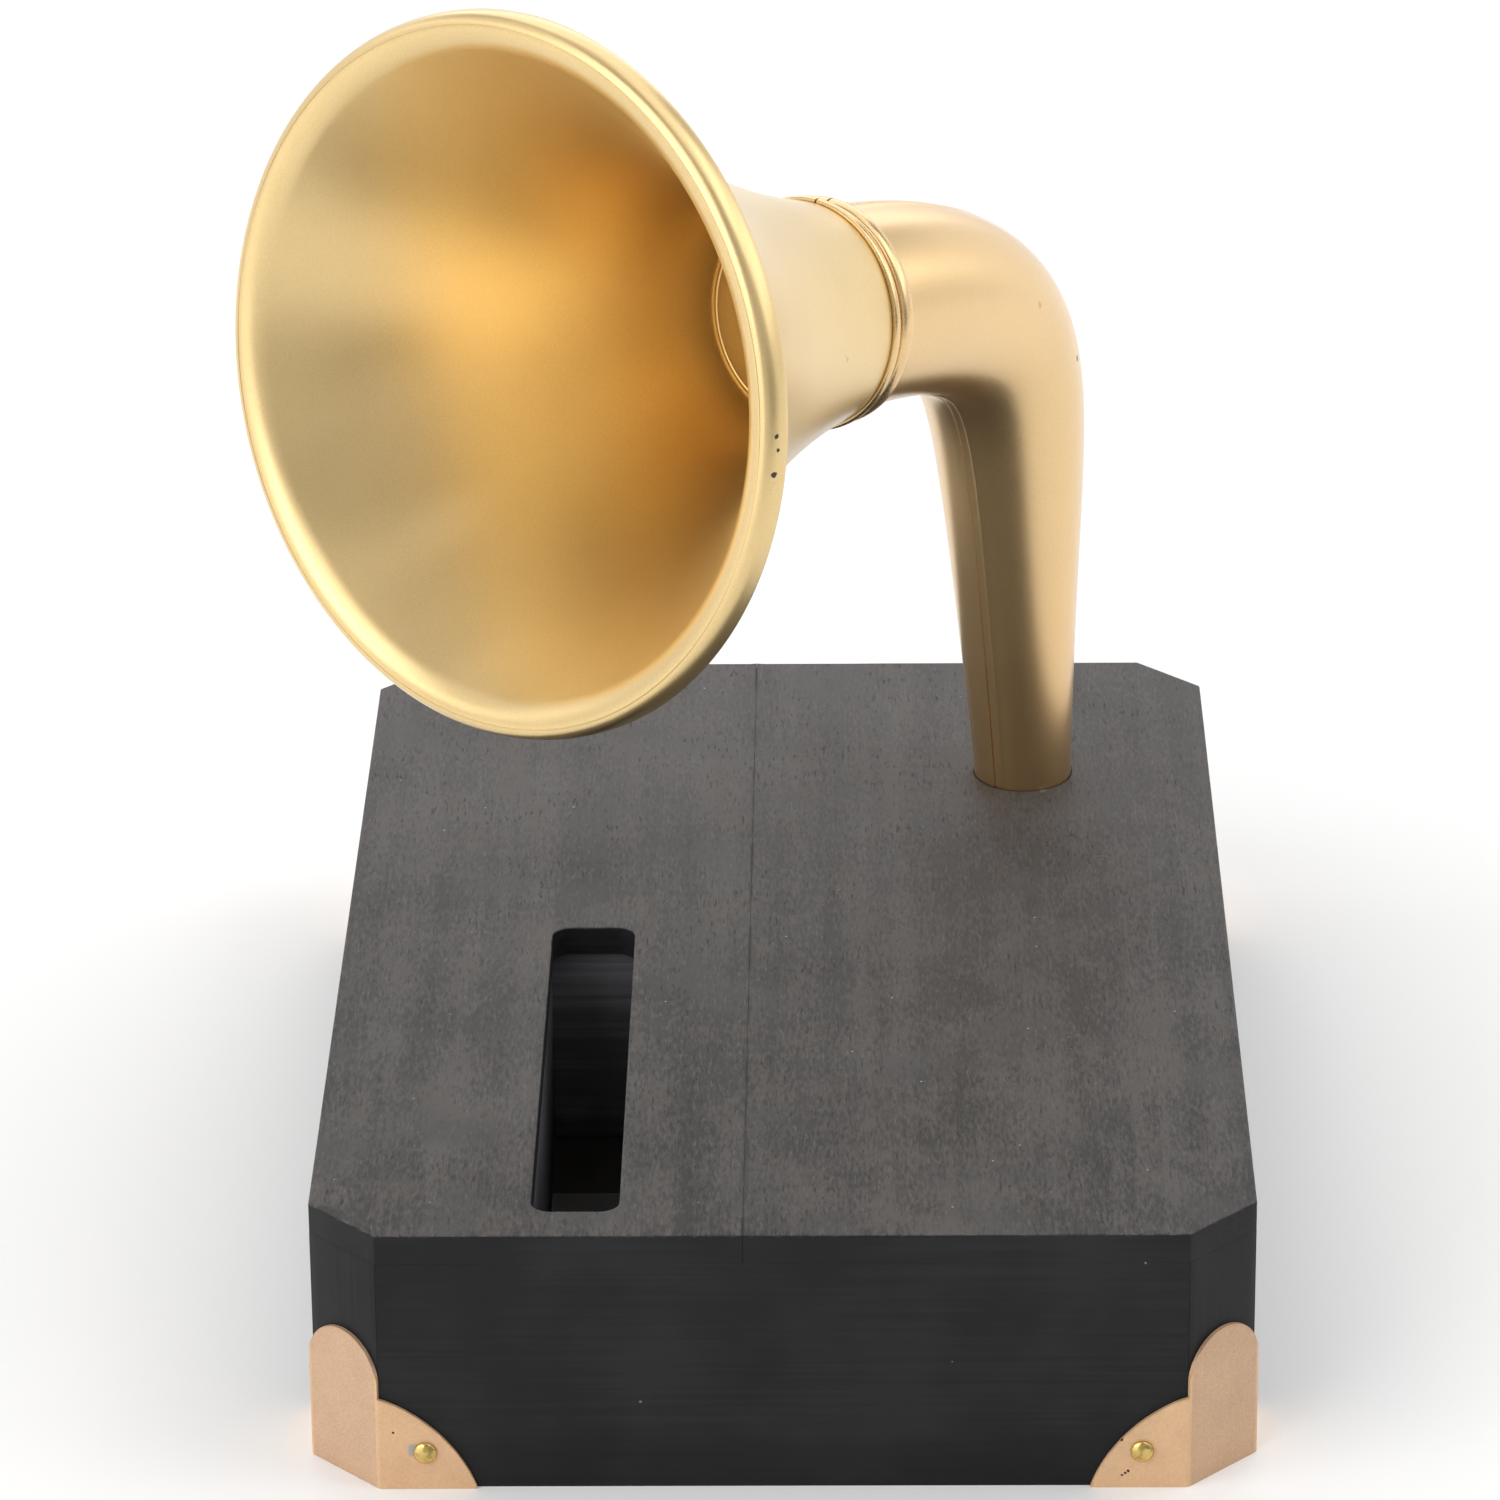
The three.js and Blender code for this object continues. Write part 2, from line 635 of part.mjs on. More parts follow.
/** The sleeve inside the joint. It holds the elbow's halves together, and its lip shows in the throat. */
function throatSleeve() {
  const { back, front, innerRadius, outerRadius, lipRadius } = THROAT;
  return onHornAxis(
    "throat_sleeve",
    [
      [back, innerRadius],
      [front - 1.5, innerRadius],
      [front, lipRadius - 1.0],
      [front, lipRadius - 0.3],
      [front - 0.4, lipRadius],
      [front - 1.6, lipRadius - 0.7],
      [front - 4.0, outerRadius],
      [back, outerRadius],
    ],
    RING_SEGMENTS,
  );
}

// ---------------------------------------------------------------- assembly

const loudspeaker = new THREE.Group();
loudspeaker.name = "horn_loudspeaker";

loudspeaker.add(
  ...topBoards(),
  wallPanel("front_panel", foldX, 0, halfDepth, endNailHoles),
  wallPanel("right_panel", foldY, Math.PI / 2, halfWidth),
  wallPanel("rear_panel", foldX, Math.PI, halfDepth, endNailHoles),
  wallPanel("left_panel", foldY, -Math.PI / 2, halfWidth),
  bottomBoard(),
  cleat("bottom_cleat_left", -1),
  cleat("bottom_cleat_right", 1),
  ...phoneWell(),
  ...hornSocket(),
);

for (const { corner, sx, sy } of CORNERS) {
  loudspeaker.add(cornerPost(corner, sx, sy), cornerFitting(corner, sx, sy), bottomScrew(corner, sx, sy));
}

const horn = new THREE.Group();
horn.position.set(FOOT.x, FOOT.y, BOX.height);
horn.rotation.z = -Math.PI / 2 - HORN_AZIMUTH;
horn.add(
  elbowHalf("elbow_half_left", -1),
  elbowHalf("elbow_half_right", 1),
  throatSleeve(),
  collarRing(),
  bell(),
);
loudspeaker.add(horn);

export default loudspeaker;
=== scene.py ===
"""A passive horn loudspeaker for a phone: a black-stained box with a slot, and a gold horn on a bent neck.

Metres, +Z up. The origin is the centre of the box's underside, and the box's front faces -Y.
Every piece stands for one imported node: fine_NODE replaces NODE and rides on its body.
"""

import json
import math

import bmesh
import bpy
from mathutils import Matrix, Vector, noise

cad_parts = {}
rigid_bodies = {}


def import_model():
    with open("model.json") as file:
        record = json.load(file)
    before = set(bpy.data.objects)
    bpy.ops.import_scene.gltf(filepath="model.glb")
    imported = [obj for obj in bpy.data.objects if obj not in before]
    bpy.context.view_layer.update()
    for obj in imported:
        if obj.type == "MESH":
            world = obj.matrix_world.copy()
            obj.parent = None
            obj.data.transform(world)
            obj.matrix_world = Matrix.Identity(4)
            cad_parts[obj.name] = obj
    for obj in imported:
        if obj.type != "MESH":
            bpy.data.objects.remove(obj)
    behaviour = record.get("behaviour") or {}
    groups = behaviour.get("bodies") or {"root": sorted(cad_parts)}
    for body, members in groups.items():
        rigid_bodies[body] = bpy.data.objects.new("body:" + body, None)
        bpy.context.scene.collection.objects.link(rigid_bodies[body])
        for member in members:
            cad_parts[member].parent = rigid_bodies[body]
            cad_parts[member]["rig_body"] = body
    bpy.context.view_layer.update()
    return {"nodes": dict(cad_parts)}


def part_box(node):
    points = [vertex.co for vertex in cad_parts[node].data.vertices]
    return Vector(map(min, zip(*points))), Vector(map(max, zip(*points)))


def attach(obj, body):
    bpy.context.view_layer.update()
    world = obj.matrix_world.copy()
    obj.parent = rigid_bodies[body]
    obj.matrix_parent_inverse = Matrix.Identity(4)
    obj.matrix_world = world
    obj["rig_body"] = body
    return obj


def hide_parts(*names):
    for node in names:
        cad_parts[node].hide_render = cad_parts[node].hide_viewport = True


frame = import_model()

# ---- driving dimensions, in millimetres

MM = 0.001
CHAMFER = 8.8
WALL = 6.0
POST_SIDE = 14.0
SLOT_CORNER_RADIUS = 2.6
SLOT_EASE = 0.3
HAIRLINE = 0.012

BRACKET = {"gap": 0.1, "thickness": 0.5, "length": 12.3, "height": 12.9, "arc": 21.5, "fold": 0.4}
BRACKET_ARCH_CENTRE = 14.2
NAIL = {"from_fold": 5.7, "height": 5.3, "radius": 1.5, "dome": 0.85, "shank": 0.5, "length": 4.5}
SCREW = {"head": 2.6, "depth": 1.6, "shank": 1.2, "length": 10.0, "recess": 0.3, "pitch": 0.8}
SCREW_CROSS = {"length": 3.2, "width": 0.55, "depth": 1.0}

HORN_AZIMUTH = math.radians(40.8)
SPIGOT_DEPTH = 20.0
BORE_RADIUS = 7.15
BORE_MOUTH_RADIUS = 6.97
LEDGE_HOLE_RADIUS = 5.5
LEG_LEAN = 0.0621
LEG_STRAIGHT = 35.3
BEND_HANDLES = (0.81, 0.98)
ELBOW_RADII = (6.85, 8.5, 13.0, 13.95)
ELBOW_WALL = 1.5
ELBOW_END = 42.6
SEAM = {"gap": 0.08, "turn": math.radians(5), "edge": 0.08, "land": 1.1, "step": 0.05}
SEAM_RIDGE = {"height": 0.09, "width": 0.45}

AXIS_TILT = math.radians(8.1)
AXIS_HEIGHT = 76.5
COLLAR = {"back": 42.4, "front": 47.0, "inner": 14.35, "gap": 0.05, "slit": 0.35}
COLLAR_RIDGE = {"radius": 15.85, "width": 1.25, "depth": 0.35}
COLLAR_BEAD = {"radius": 15.5, "depth": 0.75, "groove": 1.0}
BELL = {"neck": 44.2, "neck_radius": 14.8, "rim": 105.5, "rim_radius": 43.2, "slope": 0.16, "wall": 1.7}
BELL_START = 46.0
LIP_RADIUS = 47.15
THROAT = {"back": 36.0, "front": 49.5, "inner": 10.9, "outer": 11.9, "lip": 14.12}

FINE_SEGMENTS = 288

# ---- places, worked out from the frame


def frame_box(*nodes):
    """The lowest and highest corner of several CAD nodes together, in millimetres."""
    corners = [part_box(node) for node in nodes]
    low = [min(pair[0][axis] for pair in corners) / MM for axis in range(3)]
    high = [max(pair[1][axis] for pair in corners) / MM for axis in range(3)]
    return Vector(low), Vector(high)


BOARD_LOW, BOARD_HIGH = frame_box("top_board_left", "top_board_right")
HALF_WIDTH, HALF_DEPTH, BOX_TOP = BOARD_HIGH
BOARD_BOTTOM = BOARD_LOW.z
FOLD_X = HALF_WIDTH - CHAMFER
FOLD_Y = HALF_DEPTH - CHAMFER
GLUE_LINE = (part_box("top_board_left")[1].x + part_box("top_board_right")[0].x) / 2 / MM
SOCKET_LOW, SOCKET_HIGH = frame_box("horn_socket")
FOOT = Vector(((SOCKET_LOW.x + SOCKET_HIGH.x) / 2, (SOCKET_LOW.y + SOCKET_HIGH.y) / 2, BOX_TOP))
CORNERS = [("front_left", -1, -1), ("front_right", 1, -1), ("rear_left", -1, 1), ("rear_right", 1, 1)]

METRES = Matrix.Scale(MM, 4)
HORN = METRES @ Matrix.Translation(FOOT) @ Matrix.Rotation(-math.pi / 2 - HORN_AZIMUTH, 4, "Z")
HORN_AXIS = HORN @ Matrix.Translation((0, 0, AXIS_HEIGHT)) @ Matrix.Rotation(-AXIS_TILT, 4, "Y")

# ---- camera, floor and light

CAMERA_PLACE = (8.65, -907.0, 468.7)
CAMERA_TURN = (65.867, 0.503, 0.619)
CAMERA_LENS = 176.7


def new_object(name, data):
    """An object with this data, in the scene."""
    made = bpy.data.objects.new(name, data)
    bpy.context.scene.collection.objects.link(made)
    return made


def make_camera():
    data = bpy.data.cameras.new("camera")
    data.lens = CAMERA_LENS
    data.sensor_width = 36
    data.clip_start = 0.01
    data.clip_end = 20
    camera = new_object("camera", data)
    camera.location = Vector(CAMERA_PLACE) * MM
    camera.rotation_euler = [math.radians(angle) for angle in CAMERA_TURN]
    bpy.context.scene.camera = camera


def make_floor():
    """A pale floor, far larger than the view."""
    half = 3.0
    mesh = bpy.data.meshes.new("floor")
    mesh.from_pydata([(-half, -half, 0), (half, -half, 0), (half, half, 0), (-half, half, 0)], [], [range(4)])
    mesh.materials.append(Nodes("floor_paper", roughness=0.9, base_color=(0.93, 0.93, 0.93, 1)).material)
    new_object("floor", mesh)


STUDIO_MIDDLE = (0.0, 0.0, 0.08)
SOFTBOX_SIDE = 1.0
SOFTBOX_DISTANCE = 1.2
# The softboxes by degrees up: for each, degrees round from the front (90 is the right), and watts.
SOFTBOXES = {
    10: [(0, 1.2), (-45, 3.8), (-90, 2.1), (-135, 2.2), (180, 2.2), (135, 2.6), (90, 1.9)],
    35: [(45, 1.0)],
    40: [(-45, 5.4), (-90, 1.6), (-135, 0.9), (180, 3.0), (90, 3.8)],
    70: [(180, 1.3), (90, 2.6)],
}
WORLD_STRENGTH = 0.21


def make_lights():
    """Soft white light from all round, strongest from the front left and the right."""
    world = bpy.data.worlds.new("studio")
    world.use_nodes = True
    background = world.node_tree.nodes["Background"]
    background.inputs["Color"].default_value = (1, 1, 1, 1)
    background.inputs["Strength"].default_value = WORLD_STRENGTH
    bpy.context.scene.world = world
    lamps = [(turn, height, watts) for height, row in SOFTBOXES.items() for turn, watts in row]
    for turn, height, watts in lamps:
        around, up = math.radians(turn), math.radians(height)
        way = Vector((math.sin(around) * math.cos(up), -math.cos(around) * math.cos(up), math.sin(up)))
        data = bpy.data.lights.new(f"softbox_{turn}_{height}", "AREA")
        data.size = SOFTBOX_SIDE
        data.energy = watts
        lamp = new_object(data.name, data)
        lamp.location = Vector(STUDIO_MIDDLE) + way * SOFTBOX_DISTANCE
        lamp.rotation_euler = way.to_track_quat("Z", "Y").to_euler()
    bpy.context.scene.view_settings.view_transform = "Standard"


# ---- material nodes


class Nodes:
    """One material with a Principled shader, and short calls that add nodes to it."""

    def __init__(self, name, **values):
        self.material = bpy.data.materials.new(name)
        self.material.use_nodes = True
        self.tree = self.material.node_tree
        self.shader = self.tree.nodes["Principled BSDF"]
        for key, value in values.items():
            self.set(key.replace("_", " ").title().replace("Ior", "IOR"), value)
        self.place = self.add("ShaderNodeTexCoord").outputs["Object"]

    def add(self, kind, **settings):
        node = self.tree.nodes.new(kind)
        for key, value in settings.items():
            setattr(node, key, value)
        return node

    def fill(self, socket, value):
        """Links a node's output to a socket, or sets the socket to a number or colour."""
        if isinstance(value, bpy.types.NodeSocket):
            self.tree.links.new(value, socket)
        else:
            socket.default_value = value

    def set(self, name, value):
        self.fill(self.shader.inputs[name], value)

    def math(self, operation, *values):
        node = self.add("ShaderNodeMath", operation=operation)
        for socket, value in zip(node.inputs, values):
            self.fill(socket, value)
        return node.outputs[0]

    def times(self, first, second):
        return self.math("MULTIPLY", first, second)

    def blend(self, *layers):
        """The sum of (value, share) layers."""
        total = 0.0
        for value, share in layers:
            total = self.math("ADD", total, self.times(value, share))
        return total

    def spread(self, value, start, end, low=0.0, high=1.0):
        """A value from start to end, mapped smoothly to low to high, and held outside them."""
        node = self.add("ShaderNodeMapRange", interpolation_type="SMOOTHSTEP")
        for socket, number in zip(node.inputs, (value, start, end, low, high)):
            self.fill(socket, number)
        return node.outputs[0]

    def coordinate(self, axis):
        """The object coordinate along X, Y or Z, in metres."""
        node = self.add("ShaderNodeSeparateXYZ")
        self.fill(node.inputs[0], self.place)
        return node.outputs[axis]

    def from_place(self, operation, vector):
        """The object coordinates multiplied by a vector, or their distance from it."""
        node = self.add("ShaderNodeVectorMath", operation=operation)
        self.fill(node.inputs[0], self.place)
        self.fill(node.inputs[1], vector)
        return node.outputs["Value" if operation == "DISTANCE" else "Vector"]

    def noise(self, scale, detail=3.0, roughness=0.55, distortion=0.0):
        """Noise from 0 to 1, with its features per metre the same each way or given per axis."""
        if not isinstance(scale, tuple):
            scale = (scale, scale, scale)
        node = self.add("ShaderNodeTexNoise")
        values = {"Scale": 1, "Detail": detail, "Roughness": roughness, "Distortion": distortion}
        for name, value in {"Vector": self.from_place("MULTIPLY", scale), **values}.items():
            self.fill(node.inputs[name], value)
        return node.outputs["Fac"]

    def specks(self, per_metre, radius, share):
        """Small spots, 1 inside. radius is a share of a cell, and share is how many cells have one."""
        node = self.add("ShaderNodeTexVoronoi")
        self.fill(node.inputs["Vector"], self.from_place("MULTIPLY", (per_metre, per_metre, per_metre)))
        node.inputs["Scale"].default_value = 1
        near = self.spread(node.outputs["Distance"], radius * 0.6, radius, 1.0, 0.0)
        pick = self.add("ShaderNodeSeparateColor")
        self.fill(pick.inputs[0], node.outputs["Color"])
        return self.times(near, self.math("LESS_THAN", pick.outputs[0], share))

    def mix(self, factor, first, second):
        """A colour from first to second. Colours are three numbers or an output."""
        node = self.add("ShaderNodeMix", data_type="RGBA")
        self.fill(node.inputs["Factor"], factor)
        for socket, colour in ((node.inputs[6], first), (node.inputs[7], second)):
            self.fill(socket, colour if isinstance(colour, bpy.types.NodeSocket) else (*colour, 1))
        return node.outputs[2]

    def cover(self, mask, paint, amount=1.0):
        """Puts an amount of paint over the colour so far, where the mask is 1."""
        self.colour = self.mix(self.times(mask, amount), self.colour, paint)

    def attribute(self, name):
        return self.add("ShaderNodeAttribute", attribute_name=name).outputs["Fac"]

    def worn(self, per_metre, start=0.5, end=0.7, detail=5):
        """Broken wear along a piece's edges."""
        return self.times(self.attribute("wear"), self.spread(self.noise(per_metre, detail), start, end))

    def near(self, point, radius, ragged, per_metre):
        """1 within a radius of a point in millimetres, with a ragged edge."""
        swing = radius * ragged * MM
        wobble = self.math("MULTIPLY_ADD", self.noise(per_metre), 2 * swing, -swing)
        reach = self.math("ADD", self.from_place("DISTANCE", tuple(Vector(point) * MM)), wobble)
        return self.spread(reach, radius * 0.9 * MM, radius * 1.1 * MM, 1.0, 0.0)

    def spots(self, places, ragged, per_metre):
        """1 within any of the (point, radius) spots."""
        marks = 0.0
        for point, radius in places:
            marks = self.math("MAXIMUM", marks, self.near(point, radius, ragged, per_metre))
        return marks

    def finish(self, roughness, *relief):
        """Sets the colour, the roughness and a relief of (height from 0 to 1, depth in mm) layers."""
        self.set("Base Color", self.colour)
        self.set("Roughness", roughness)
        for height, depth in relief:
            node = self.add("ShaderNodeBump")
            node.inputs["Distance"].default_value = depth * MM
            self.fill(node.inputs["Height"], height)
            for link in self.shader.inputs["Normal"].links:
                self.fill(node.inputs["Normal"], link.from_socket)
            self.set("Normal", node.outputs["Normal"])
        return self.material


# ---- materials


def along(axis, across, lengthwise):
    """Features per metre for a grain that runs along one axis."""
    return tuple(lengthwise if name == axis else across for name in "XYZ")


# Marks on the top: stain that ran at the front left chamfer, and a painted highlight in front of the horn's
# foot.
STAIN_RUN = {"place": (-57.6, -84.6, BOX_TOP), "radius": 2.4}
PAINTED_FOOT_HIGHLIGHT = {"place": FOOT + Vector((2.8, -6.9, 0)), "radius": 0.7}


def stained_top():
    """Thin black stain over open grain along Y: mottled grey, with short pores, specks and scratches, and a
    painted sheen that makes it paler towards the back.
    """
    wood = Nodes("stained_top", specular_ior_level=0.3)
    fibre = wood.noise(along("Y", 2300, 520), detail=5, roughness=0.7)
    streaks = wood.noise(along("Y", 260, 9), detail=4, roughness=0.7)
    mottle = wood.noise(along("Y", 190, 110), detail=5, roughness=0.62)
    cloud = wood.noise(30, detail=2)
    tone = wood.blend((fibre, 0.34), (streaks, 0.22), (mottle, 0.26), (cloud, 0.18))
    wood.colour = wood.mix(wood.spread(tone, 0.43, 0.57), (0.026, 0.024, 0.0236), (0.082, 0.075, 0.0722))
    cool = wood.spread(wood.noise(55, detail=2), 0.52, 0.66)
    wood.cover(cool, (0.052, 0.0515, 0.0525), 0.5)
    # Painted sheen: the top is painted paler towards the back, standing in for the grazing reflection of the
    # lights behind.
    back = wood.math("MULTIPLY_ADD", cloud, 0.02, wood.coordinate("Y"))
    wood.cover(wood.spread(back, -0.07, 0.11, 0.0, 0.34), (0.145, 0.135, 0.132))
    aside = wood.math("ABSOLUTE", wood.math("SUBTRACT", wood.coordinate("X"), GLUE_LINE * MM))
    broken = wood.times(
        wood.spread(streaks, 0.35, 0.6, 0.3, 0.9), wood.spread(wood.noise((0, 75, 0)), 0.4, 0.58)
    )
    glue = wood.times(wood.spread(aside, 0.00008, 0.0004, 1.0, 0.0), broken)
    wood.cover(glue, (0.012, 0.0115, 0.0115))
    grouped = wood.spread(wood.noise(90, detail=2), 0.35, 0.62, 0.25, 1.0)
    pores = wood.spread(wood.noise(along("Y", 2500, 330), detail=2), 0.59, 0.7)
    dark_pores = wood.times(wood.times(pores, grouped), 0.8)
    wood.cover(dark_pores, (0.018, 0.0165, 0.0165))
    pale = wood.spread(wood.noise(along("Y", 2900, 420), detail=2), 0.6, 0.72)
    wood.cover(pale, (0.15, 0.14, 0.136), 0.35)
    line = wood.math("ABSOLUTE", wood.math("SUBTRACT", wood.noise((120, 60, 120), detail=1), 0.5))
    here = wood.spread(wood.noise(170, detail=1), 0.7, 0.74)
    scratch = wood.times(wood.spread(line, 0.0, 0.003, 1.0, 0.0), here)
    wood.cover(scratch, (0.26, 0.24, 0.23), 0.5)
    wood.cover(wood.specks(560, 0.1, 0.05), (0.42, 0.37, 0.33))
    wood.cover(wood.specks(430, 0.07, 0.12), (0.2, 0.1, 0.07))
    stain_run = wood.near(STAIN_RUN["place"], STAIN_RUN["radius"], ragged=0.6, per_metre=420)
    wood.cover(stain_run, (0.022, 0.0215, 0.0225), 0.7)
    # Painted highlight: a pale, bluish, ragged spot in front of the horn's foot.
    painted_foot_highlight = wood.near(PAINTED_FOOT_HIGHLIGHT["place"], PAINTED_FOOT_HIGHLIGHT["radius"], ragged=1.3, per_metre=900)
    wood.cover(painted_foot_highlight, (0.3, 0.3, 0.32), 0.35)
    wood.cover(wood.worn(900), (0.19, 0.17, 0.155), 0.3)
    between_pores = wood.math("SUBTRACT", 1.0, dark_pores)
    roughness = wood.spread(mottle, 0.3, 0.7, 0.52, 0.64)
    return wood.finish(roughness, (fibre, 0.04), (between_pores, 0.08), (mottle, 0.06))


def stained_side(axis, painted_light_lift=1.0):
    """Thick, smooth, almost black stain, with faint brush marks along one axis and worn edges, painted shade
    near the floor, and painted light where the lift is above 1.
    """
    wood = Nodes(f"stained_side_{axis.lower()}_{painted_light_lift:g}", specular_ior_level=0.2)
    brush = wood.noise(along(axis, 1500, 25), detail=4)
    cloud = wood.noise(45)
    tone = wood.blend((brush, 0.4), (cloud, 0.6))
    # Painted light: above 1, the lift makes a lighter copy of the stain, for pieces that stand in the box's
    # shade.
    dark = tuple(painted_light_lift * part for part in (0.0102, 0.0102, 0.0113))
    light = tuple(painted_light_lift * part for part in (0.0186, 0.0186, 0.0204))
    wood.colour = wood.mix(wood.spread(tone, 0.4, 0.62), dark, light)
    # Painted shade: the stain is darker below about 9.5 mm, where less light reaches near the floor.
    level = wood.math("MULTIPLY_ADD", cloud, 0.002, wood.coordinate("Z"))
    wood.cover(wood.spread(level, 0.006, 0.0095, 0.35, 0.0), (0.0055, 0.0055, 0.0062))
    wood.cover(wood.worn(700), (0.12, 0.11, 0.1), 0.35)
    wood.cover(wood.specks(330, 0.07, 0.1), (0.17, 0.16, 0.15))
    roughness = wood.spread(brush, 0.3, 0.7, 0.44, 0.6)
    return wood.finish(roughness, (brush, 0.015), (wood.noise(700, detail=4), 0.02))


def plain_wood(axis):
    """Unfinished inner wood with a grain along one axis."""
    wood = Nodes(f"plain_wood_{axis.lower()}", specular_ior_level=0.3)
    fibre = wood.noise(along(axis, 3500, 120))
    tone = wood.blend((wood.noise(along(axis, 700, 18), detail=5, distortion=0.6), 0.7), (fibre, 0.3))
    wood.colour = wood.mix(wood.spread(tone, 0.35, 0.68), (0.36, 0.22, 0.115), (0.62, 0.44, 0.26))
    wood.cover(wood.attribute("wear"), (0.7, 0.55, 0.38), 0.3)
    return wood.finish(wood.spread(fibre, 0.3, 0.7, 0.68, 0.85), (fibre, 0.06))


def gold_paint(name, chips=(), scuffs=(), green=1.0, shine=(0.3, 0.38), painted_foot_reflection=False):
    """Satin metallic gold under a clear coat, with flake, orange peel, dust, and chips down to the black.

    green is how much greener the paint is, and shine its lowest and highest roughness. With the foot flag,
    the neck is painted more orange low down: a painted reflection of the dark box below it.
    """
    gold = Nodes(name, metallic=1.0, coat_weight=0.7, coat_roughness=0.24)
    flake = gold.noise(5600, detail=2, roughness=0.8)
    tone = gold.blend((flake, 0.6), (gold.noise(28), 0.4))
    deep, bright = (0.74, 0.515 * green, 0.25), (0.85, 0.598 * green, 0.298)
    gold.colour = gold.mix(gold.spread(tone, 0.35, 0.65), deep, bright)
    if painted_foot_reflection:
        # Painted reflection: the paint turns more orange below about 85 mm, standing in for the dark box
        # reflected in the leg.
        low = gold.spread(gold.coordinate("Z"), 0.034, 0.085, 0.45, 0.0)
        gold.cover(low, (0.82, 0.51, 0.24))
    gold.cover(gold.specks(260, 0.045, 0.12), (0.95, 0.86, 0.7), 0.5)
    scuffed = gold.spots(scuffs, ragged=1.6, per_metre=2200)
    gold.cover(scuffed, (0.5, 0.29, 0.1), 0.55)
    chipped = gold.spots(chips, ragged=0.9, per_metre=1600)
    gold.cover(chipped, (0.045, 0.036, 0.032))
    peel = gold.noise(1500, detail=2)
    whole = gold.math("SUBTRACT", 1.0, chipped)
    roughness = gold.spread(tone, 0.3, 0.7, *shine)
    return gold.finish(roughness, (peel, 0.006), (flake, 0.006), (whole, 0.06))


def copper_paint(bare_spots, dark_spots):
    """Matt copper powder coat, sandier on the chamfer, with browned edges, bare metal and dark nicks."""
    coat = Nodes("copper_paint", metallic=0.25, specular_ior_level=0.4)
    sand = coat.noise(2600, roughness=0.6)
    grit = coat.noise(6500, detail=1)
    sandy = coat.attribute("sandy")
    tone = coat.spread(coat.blend((sand, 0.4), (grit, 0.3), (coat.noise(140), 0.3)), 0.3, 0.7)
    smooth = coat.mix(tone, (0.64, 0.405, 0.226), (0.8, 0.53, 0.314))
    pink = coat.mix(tone, (0.53, 0.342, 0.212), (0.7, 0.472, 0.308))
    coat.colour = coat.mix(sandy, smooth, pink)
    coat.cover(coat.worn(420, 0.3, 0.6, detail=3), (0.3, 0.15, 0.085), 0.3)
    coat.cover(coat.specks(520, 0.07, 0.09), (0.16, 0.09, 0.06))
    coat.cover(coat.spots(bare_spots, 0.6, 1100), (0.42, 0.4, 0.37))
    coat.cover(coat.spots(dark_spots, 1.2, 1100), (0.05, 0.03, 0.025))
    relief = coat.times(sand, coat.spread(sandy, 0, 1, 0.25, 1.0))
    return coat.finish(coat.spread(sand, 0.3, 0.7, 0.5, 0.65), (relief, 0.16), (grit, 0.03))


def bright_metal(name, base, roughness):
    """Bright metal with small dents and a little tarnish."""
    metal = Nodes(name, metallic=1.0)
    tarnish = metal.spread(metal.noise(700, detail=4), 0.48, 0.66)
    metal.colour = base
    metal.cover(tarnish, tuple(part * 0.3 for part in base), 0.6)
    duller = metal.spread(tarnish, 0, 1, roughness, roughness + 0.2)
    return metal.finish(duller, (metal.noise(1300, detail=2), 0.03))


def black_felt():
    """Pressed black felt with a fibrous relief."""
    felt = Nodes("black_felt", sheen_weight=0.4)
    fibre = felt.noise(2400, detail=5, roughness=0.7, distortion=1.2)
    felt.colour = felt.mix(fibre, (0.025, 0.026, 0.028), (0.075, 0.077, 0.083))
    return felt.finish(0.95, (fibre, 0.15))


# ---- mesh helpers


def add_piece(node, mesh_in_work, *materials, sharp=40):
    """The finished mesh as piece fine_NODE: in place of its CAD node, on the node's body."""
    bmesh.ops.recalc_face_normals(mesh_in_work, faces=mesh_in_work.faces)
    mesh = bpy.data.meshes.new(f"fine_{node}")
    mesh_in_work.to_mesh(mesh)
    mesh_in_work.free()
    mesh.set_sharp_from_angle(angle=math.radians(sharp))
    piece = new_object(f"fine_{node}", mesh)
    for material in materials:
        mesh.materials.append(material)
    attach(piece, frame["nodes"][node]["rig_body"])
    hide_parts(node)
    return piece


def bezier(controls, share):
    """A point on a Bezier curve of any degree."""
    points = [Vector(point) for point in controls]
    while len(points) > 1:
        points = [a.lerp(b, share) for a, b in zip(points, points[1:])]
    return points[0]


def bezier_points(controls, steps):
    return [bezier(controls, i / steps) for i in range(steps + 1)]


def outline(corners, steps, spacing):
    """A closed outline from (x, y, fillet radius) corners, with points no further apart than spacing."""
    points = []
    for i, (x, y, radius) in enumerate(corners):
        here = Vector((x, y))
        before = (Vector(corners[i - 1][:2]) - here).normalized()
        after = (Vector(corners[(i + 1) % len(corners)][:2]) - here).normalized()
        half = before.angle(after) / 2
        centre = here + (before + after).normalized() * radius / math.sin(half)
        start = before * radius / math.tan(half) + here - centre
        end = after * radius / math.tan(half) + here - centre
        first = math.atan2(start.y, start.x)
        turn = (math.atan2(end.y, end.x) - first + math.pi) % (2 * math.pi) - math.pi
        for k in range(steps + 1):
            angle = first + turn * k / steps
            points.append(centre + Vector((math.cos(angle), math.sin(angle))) * radius)
    result = []
    for here, after in zip(points, points[1:] + points[:1]):
        parts = max(1, math.ceil((after - here).length / spacing))
        result += [here.lerp(after, k / parts) for k in range(parts)]
    return result


